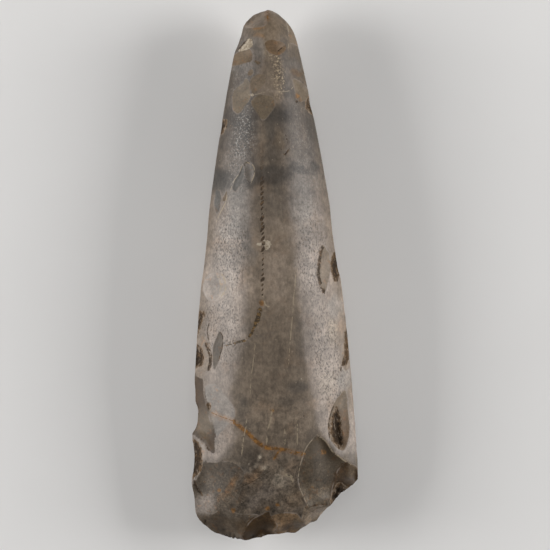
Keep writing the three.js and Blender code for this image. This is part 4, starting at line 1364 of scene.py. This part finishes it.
def dash_mask(shade):
    """Small slanted pits, one after another down the middle of the stone, each of its own size."""
    pitch, slant = 2.0, 0.8
    run = shade.layer("dash run")
    off = shade.plus(shade.layer("dash off"), shade.wobble(0.8, 0.5))
    slanted = shade.plus(shade.math("MULTIPLY_ADD", off, slant, run), shade.wobble(3, 2.6))
    phase = shade.math("DIVIDE", slanted, pitch)
    size = shade.scatter(shade.math("FLOOR", phase))
    apart = shade.times(shade.without_sign(shade.minus(shade.math("FRACT", phase), 0.5)), pitch)
    reach = shade.math("MULTIPLY_ADD", size, 0.65, 0.35)
    wide = shade.math("MULTIPLY_ADD", size, 0.8, 0.25)
    round_off = shade.math("POWER", shade.math("DIVIDE", off, wide), 2.0)
    pit = shade.plus(shade.math("POWER", shade.math("DIVIDE", apart, reach), 2.0), round_off)
    strength = shade.times(shade.ramp(run, 2, 20, 0.3, 1.0), shade.ramp(shade.layer("dash near"), 1.2, 0.9))
    return shade.times(shade.ramp(pit, 1.3, 0.5), strength)


def scar_rim_highlights(shade, fray):
    """Where painted highlights show on the pale rims round the scars, as if their ridges caught the light."""
    off = shade.without_sign(shade.plus(shade.layer("rim off"), fray))
    near = shade.ramp(shade.layer("rim near"), 1.0, 0.5)
    rim = shade.times(shade.ramp(off, 0.4, 0.05), near, shade.patches((5, 3), 0.4, 0.62, 0, 0.65))
    # The painted highlight is left out where the texture layer says so.
    return shade.times(rim, shade.minus(1.0, shade.layer("unhighlighted")))


def stained(shade, colours, colour, fray, coarse):
    """A colour with its veins, iron stains and pale lines, some of these lines painted highlights."""
    vein = shade.times(line_mask(shade, "vein", shade.times(fray, 3.0), 0.36), 0.9)
    vein_stone = shade.mix(shade.patches((1.0, 3, 0.6), 0.45, 0.6), DARK_VEIN, LIGHT_VEIN)
    colour = shade.mix(vein, colour, vein_stone)
    halo = shade.ramp(shade.layer("iron near"), 1.8, 0.2, 0, 0.3)
    colour = shade.mix(halo, colour, shade.tint(colour, HALO_TINT))
    iron = shade.times(line_mask(shade, "iron", shade.times(fray, 3.0), 0.4), 0.95)
    rust_spot = shade.ramp(shade.plus(shade.layer("rust"), coarse), 0.4, -0.5, 0, 0.85)
    rusty = shade.mix(shade.patches((1.3, 3, 0.6), 0.42, 0.58), DARK_RUST, colours.rust)
    colour = shade.mix(shade.most(iron, rust_spot), colour, rusty)
    # Pale lines: real ones, and painted highlights along some scars' rims and in the left crescent.
    pale = shade.times(line_mask(shade, "pale", shade.times(fray, 2.0), 0.42), 0.6)
    return shade.mix(pale, colour, PALE_LINE_AND_HIGHLIGHT)


def earthy(shade, fray):
    """Where earth fills small holes, cracks and the line of slanted pits."""
    dark = shade.ramp(shade.plus(shade.layer("dark"), fray), 0.15, -0.25, 0, 0.85)
    crack = shade.times(line_mask(shade, "crack", shade.times(fray, 3.0), 0.4), 0.85)
    return shade.most(dark, crack, shade.times(dash_mask(shade), 0.9))


def flint_material(colours):
    """Ground and weathered flint with flake scars, pockets of old skin, stains, chalk and earth."""
    shade = Shading("flint")
    fray = shade.wobble(0.9, 0.7)
    coarse = shade.wobble(2.0, 1.8)
    scarred = shade.ramp(shade.plus(shade.layer("scar"), fray), 0.14, -0.14)
    colour = shade.mix(scarred, ground_flint(shade), scar_flint(shade))
    # Painted highlight: pale lines along the scars' rims in the palest patina colour.
    colour = shade.mix(scar_rim_highlights(shade, fray), colour, colours.bloom_and_highlight)
    edge = shade.plus(shade.layer("pocket"), shade.plus(fray, coarse))
    pocket = shade.ramp(edge, 0.15, -0.15)
    colour = shade.mix(pocket, colour, rough_skin(shade, colours, edge))
    colour = stained(shade, colours, colour, fray, coarse)
    chalk = shade.ramp(shade.plus(shade.layer("chalk"), shade.plus(coarse, fray)), 0.15, -0.15)
    chalky = shade.mix(shade.patches((1.2, 4, 0.7), 0.36, 0.6), DULL_CHALK, colours.chalk)
    colour = shade.mix(chalk, colour, chalky)
    dark = earthy(shade, fray)
    earth = shade.mix(shade.patches((1.2, 3, 0.6), 0.48, 0.64), colours.dirt, colours.skin)
    colour = shade.mix(dark, colour, earth)
    rough = shade.most(shade.ramp(scarred, 0, 1, 0.5, 0.55), shade.ramp(pocket, 0, 1, 0, 0.85))
    rough = shade.most(rough, shade.ramp(shade.most(chalk, dark), 0, 1, 0, 0.8))
    relief = shade.plus(shade.wobble(0.8, 0.08), shade.times(shade.wobble(1.2, 0.8, 5.0), pocket))
    relief = shade.minus(shade.plus(relief, shade.times(chalk, 0.1)), shade.times(dark, 0.06))
    bump = shade.node("ShaderNodeBump", {"Height": relief, "Strength": 1.0, "Distance": MM})
    return shade.finish(colour, rough, 0.25, bump.outputs[0])


def floor_material(colour):
    """Matt pale paper."""
    shade = Shading("pale floor")
    tone = shade.patches((60, 2), 0.3, 0.7, 0.985, 1.0)
    return shade.finish(shade.tint(colour, tone), 0.9, 0.2)


# Studio

# The picture's side in pixels, how far the stone's middle is from its centre, and the sensor in millimetres
PICTURE_PIXELS = 550
PIXELS_BESIDE = 4
SENSOR = 36

# Where the lights are, beside, along and over the stone, and how wide they are, in metres
SIDE_LIGHTS = (0.9, 0.05, 0.34)
SIDE_LIGHTS_WIDTH = 0.5
TOP_LIGHT = (0.0, 0.5, 1.3)
TOP_LIGHT_WIDTH = 0.6
ROOM_COLOUR = (1.0, 0.98, 0.95, 1.0)
ROOM_STRENGTH = 0.12


def area_light(name, place, target, size, power):
    """A soft square light aimed at a point."""
    bpy.ops.object.light_add(type="AREA", location=place)
    light = bpy.context.active_object
    light.name = name
    light.data.energy = power
    light.data.size = size
    light.rotation_euler = (target - Vector(place)).to_track_quat("-Z", "Y").to_euler()


class AXEHEAD_OT_stage(bpy.types.Operator):
    """Adds the floor, the soft lights and the camera"""

    bl_idname = "axehead.stage"
    bl_label = "Studio"
    bl_options = {"REGISTER", "UNDO"}

    def execute(self, context):
        stage = context.scene.axe_head_stage
        bpy.ops.object.select_all(action="DESELECT")
        bpy.ops.mesh.primitive_plane_add(size=4)
        floor = context.active_object
        floor.name = "floor"
        floor.data.materials.append(floor_material(stage.floor))
        target = Vector((0, 0, cad_box[1][2] / 2))
        beside, along, over = SIDE_LIGHTS
        for name, side in (("left light", -beside), ("right light", beside)):
            area_light(name, (side, along, over), target, SIDE_LIGHTS_WIDTH, stage.side_power)
        area_light("top light", TOP_LIGHT, target, TOP_LIGHT_WIDTH, stage.top_power)
        world = bpy.data.worlds.new("studio")
        world.use_nodes = True
        background = world.node_tree.nodes["Background"]
        background.inputs["Color"].default_value = ROOM_COLOUR
        background.inputs["Strength"].default_value = ROOM_STRENGTH
        context.scene.world = world
        context.scene.view_settings.view_transform = "Standard"
        self.add_camera(context, stage)
        return {"FINISHED"}

    def add_camera(self, context, stage):
        """Adds the camera straight over the stone."""
        rim = THICKNESS / 2 * MM
        beside = PIXELS_BESIDE * stage.view_height / PICTURE_PIXELS
        bpy.ops.object.camera_add(location=(beside, 0, rim + stage.distance), rotation=(0, 0, stage.roll))
        camera = context.active_object
        camera.data.sensor_width = SENSOR
        camera.data.lens = SENSOR * stage.distance / stage.view_height
        context.scene.camera = camera


class AXEHEAD_PT_panel(bpy.types.Panel):
    """Lists the steps and their settings"""

    bl_idname = "AXEHEAD_PT_panel"
    bl_label = "Axe head"
    bl_space_type = "VIEW_3D"
    bl_region_type = "UI"
    bl_category = "Axe head"

    def draw(self, context):
        scene = context.scene
        for settings in (scene.axe_head_stone, scene.axe_head_colours, scene.axe_head_stage):
            for name in settings.__annotations__:
                self.layout.prop(settings, name)
        self.layout.operator(AXEHEAD_OT_stone.bl_idname)
        self.layout.operator(AXEHEAD_OT_stage.bl_idname)


CLASSES = (
    AxeHeadStone,
    AxeHeadColours,
    AxeHeadStage,
    AXEHEAD_OT_stone,
    AXEHEAD_OT_stage,
    AXEHEAD_PT_panel,
)


def register():
    """Makes the settings, operators and panel known."""
    for made in CLASSES:
        bpy.utils.register_class(made)
    bpy.types.Scene.axe_head_stone = bpy.props.PointerProperty(type=AxeHeadStone)
    bpy.types.Scene.axe_head_colours = bpy.props.PointerProperty(type=AxeHeadColours)
    bpy.types.Scene.axe_head_stage = bpy.props.PointerProperty(type=AxeHeadStage)


def unregister():
    """Takes them out again."""
    del bpy.types.Scene.axe_head_stage
    del bpy.types.Scene.axe_head_colours
    del bpy.types.Scene.axe_head_stone
    for made in reversed(CLASSES):
        bpy.utils.unregister_class(made)


def main():
    """Makes the whole scene."""
    register()
    bpy.ops.axehead.stage()
    bpy.ops.axehead.stone()


if __name__ == "__main__":
    main()
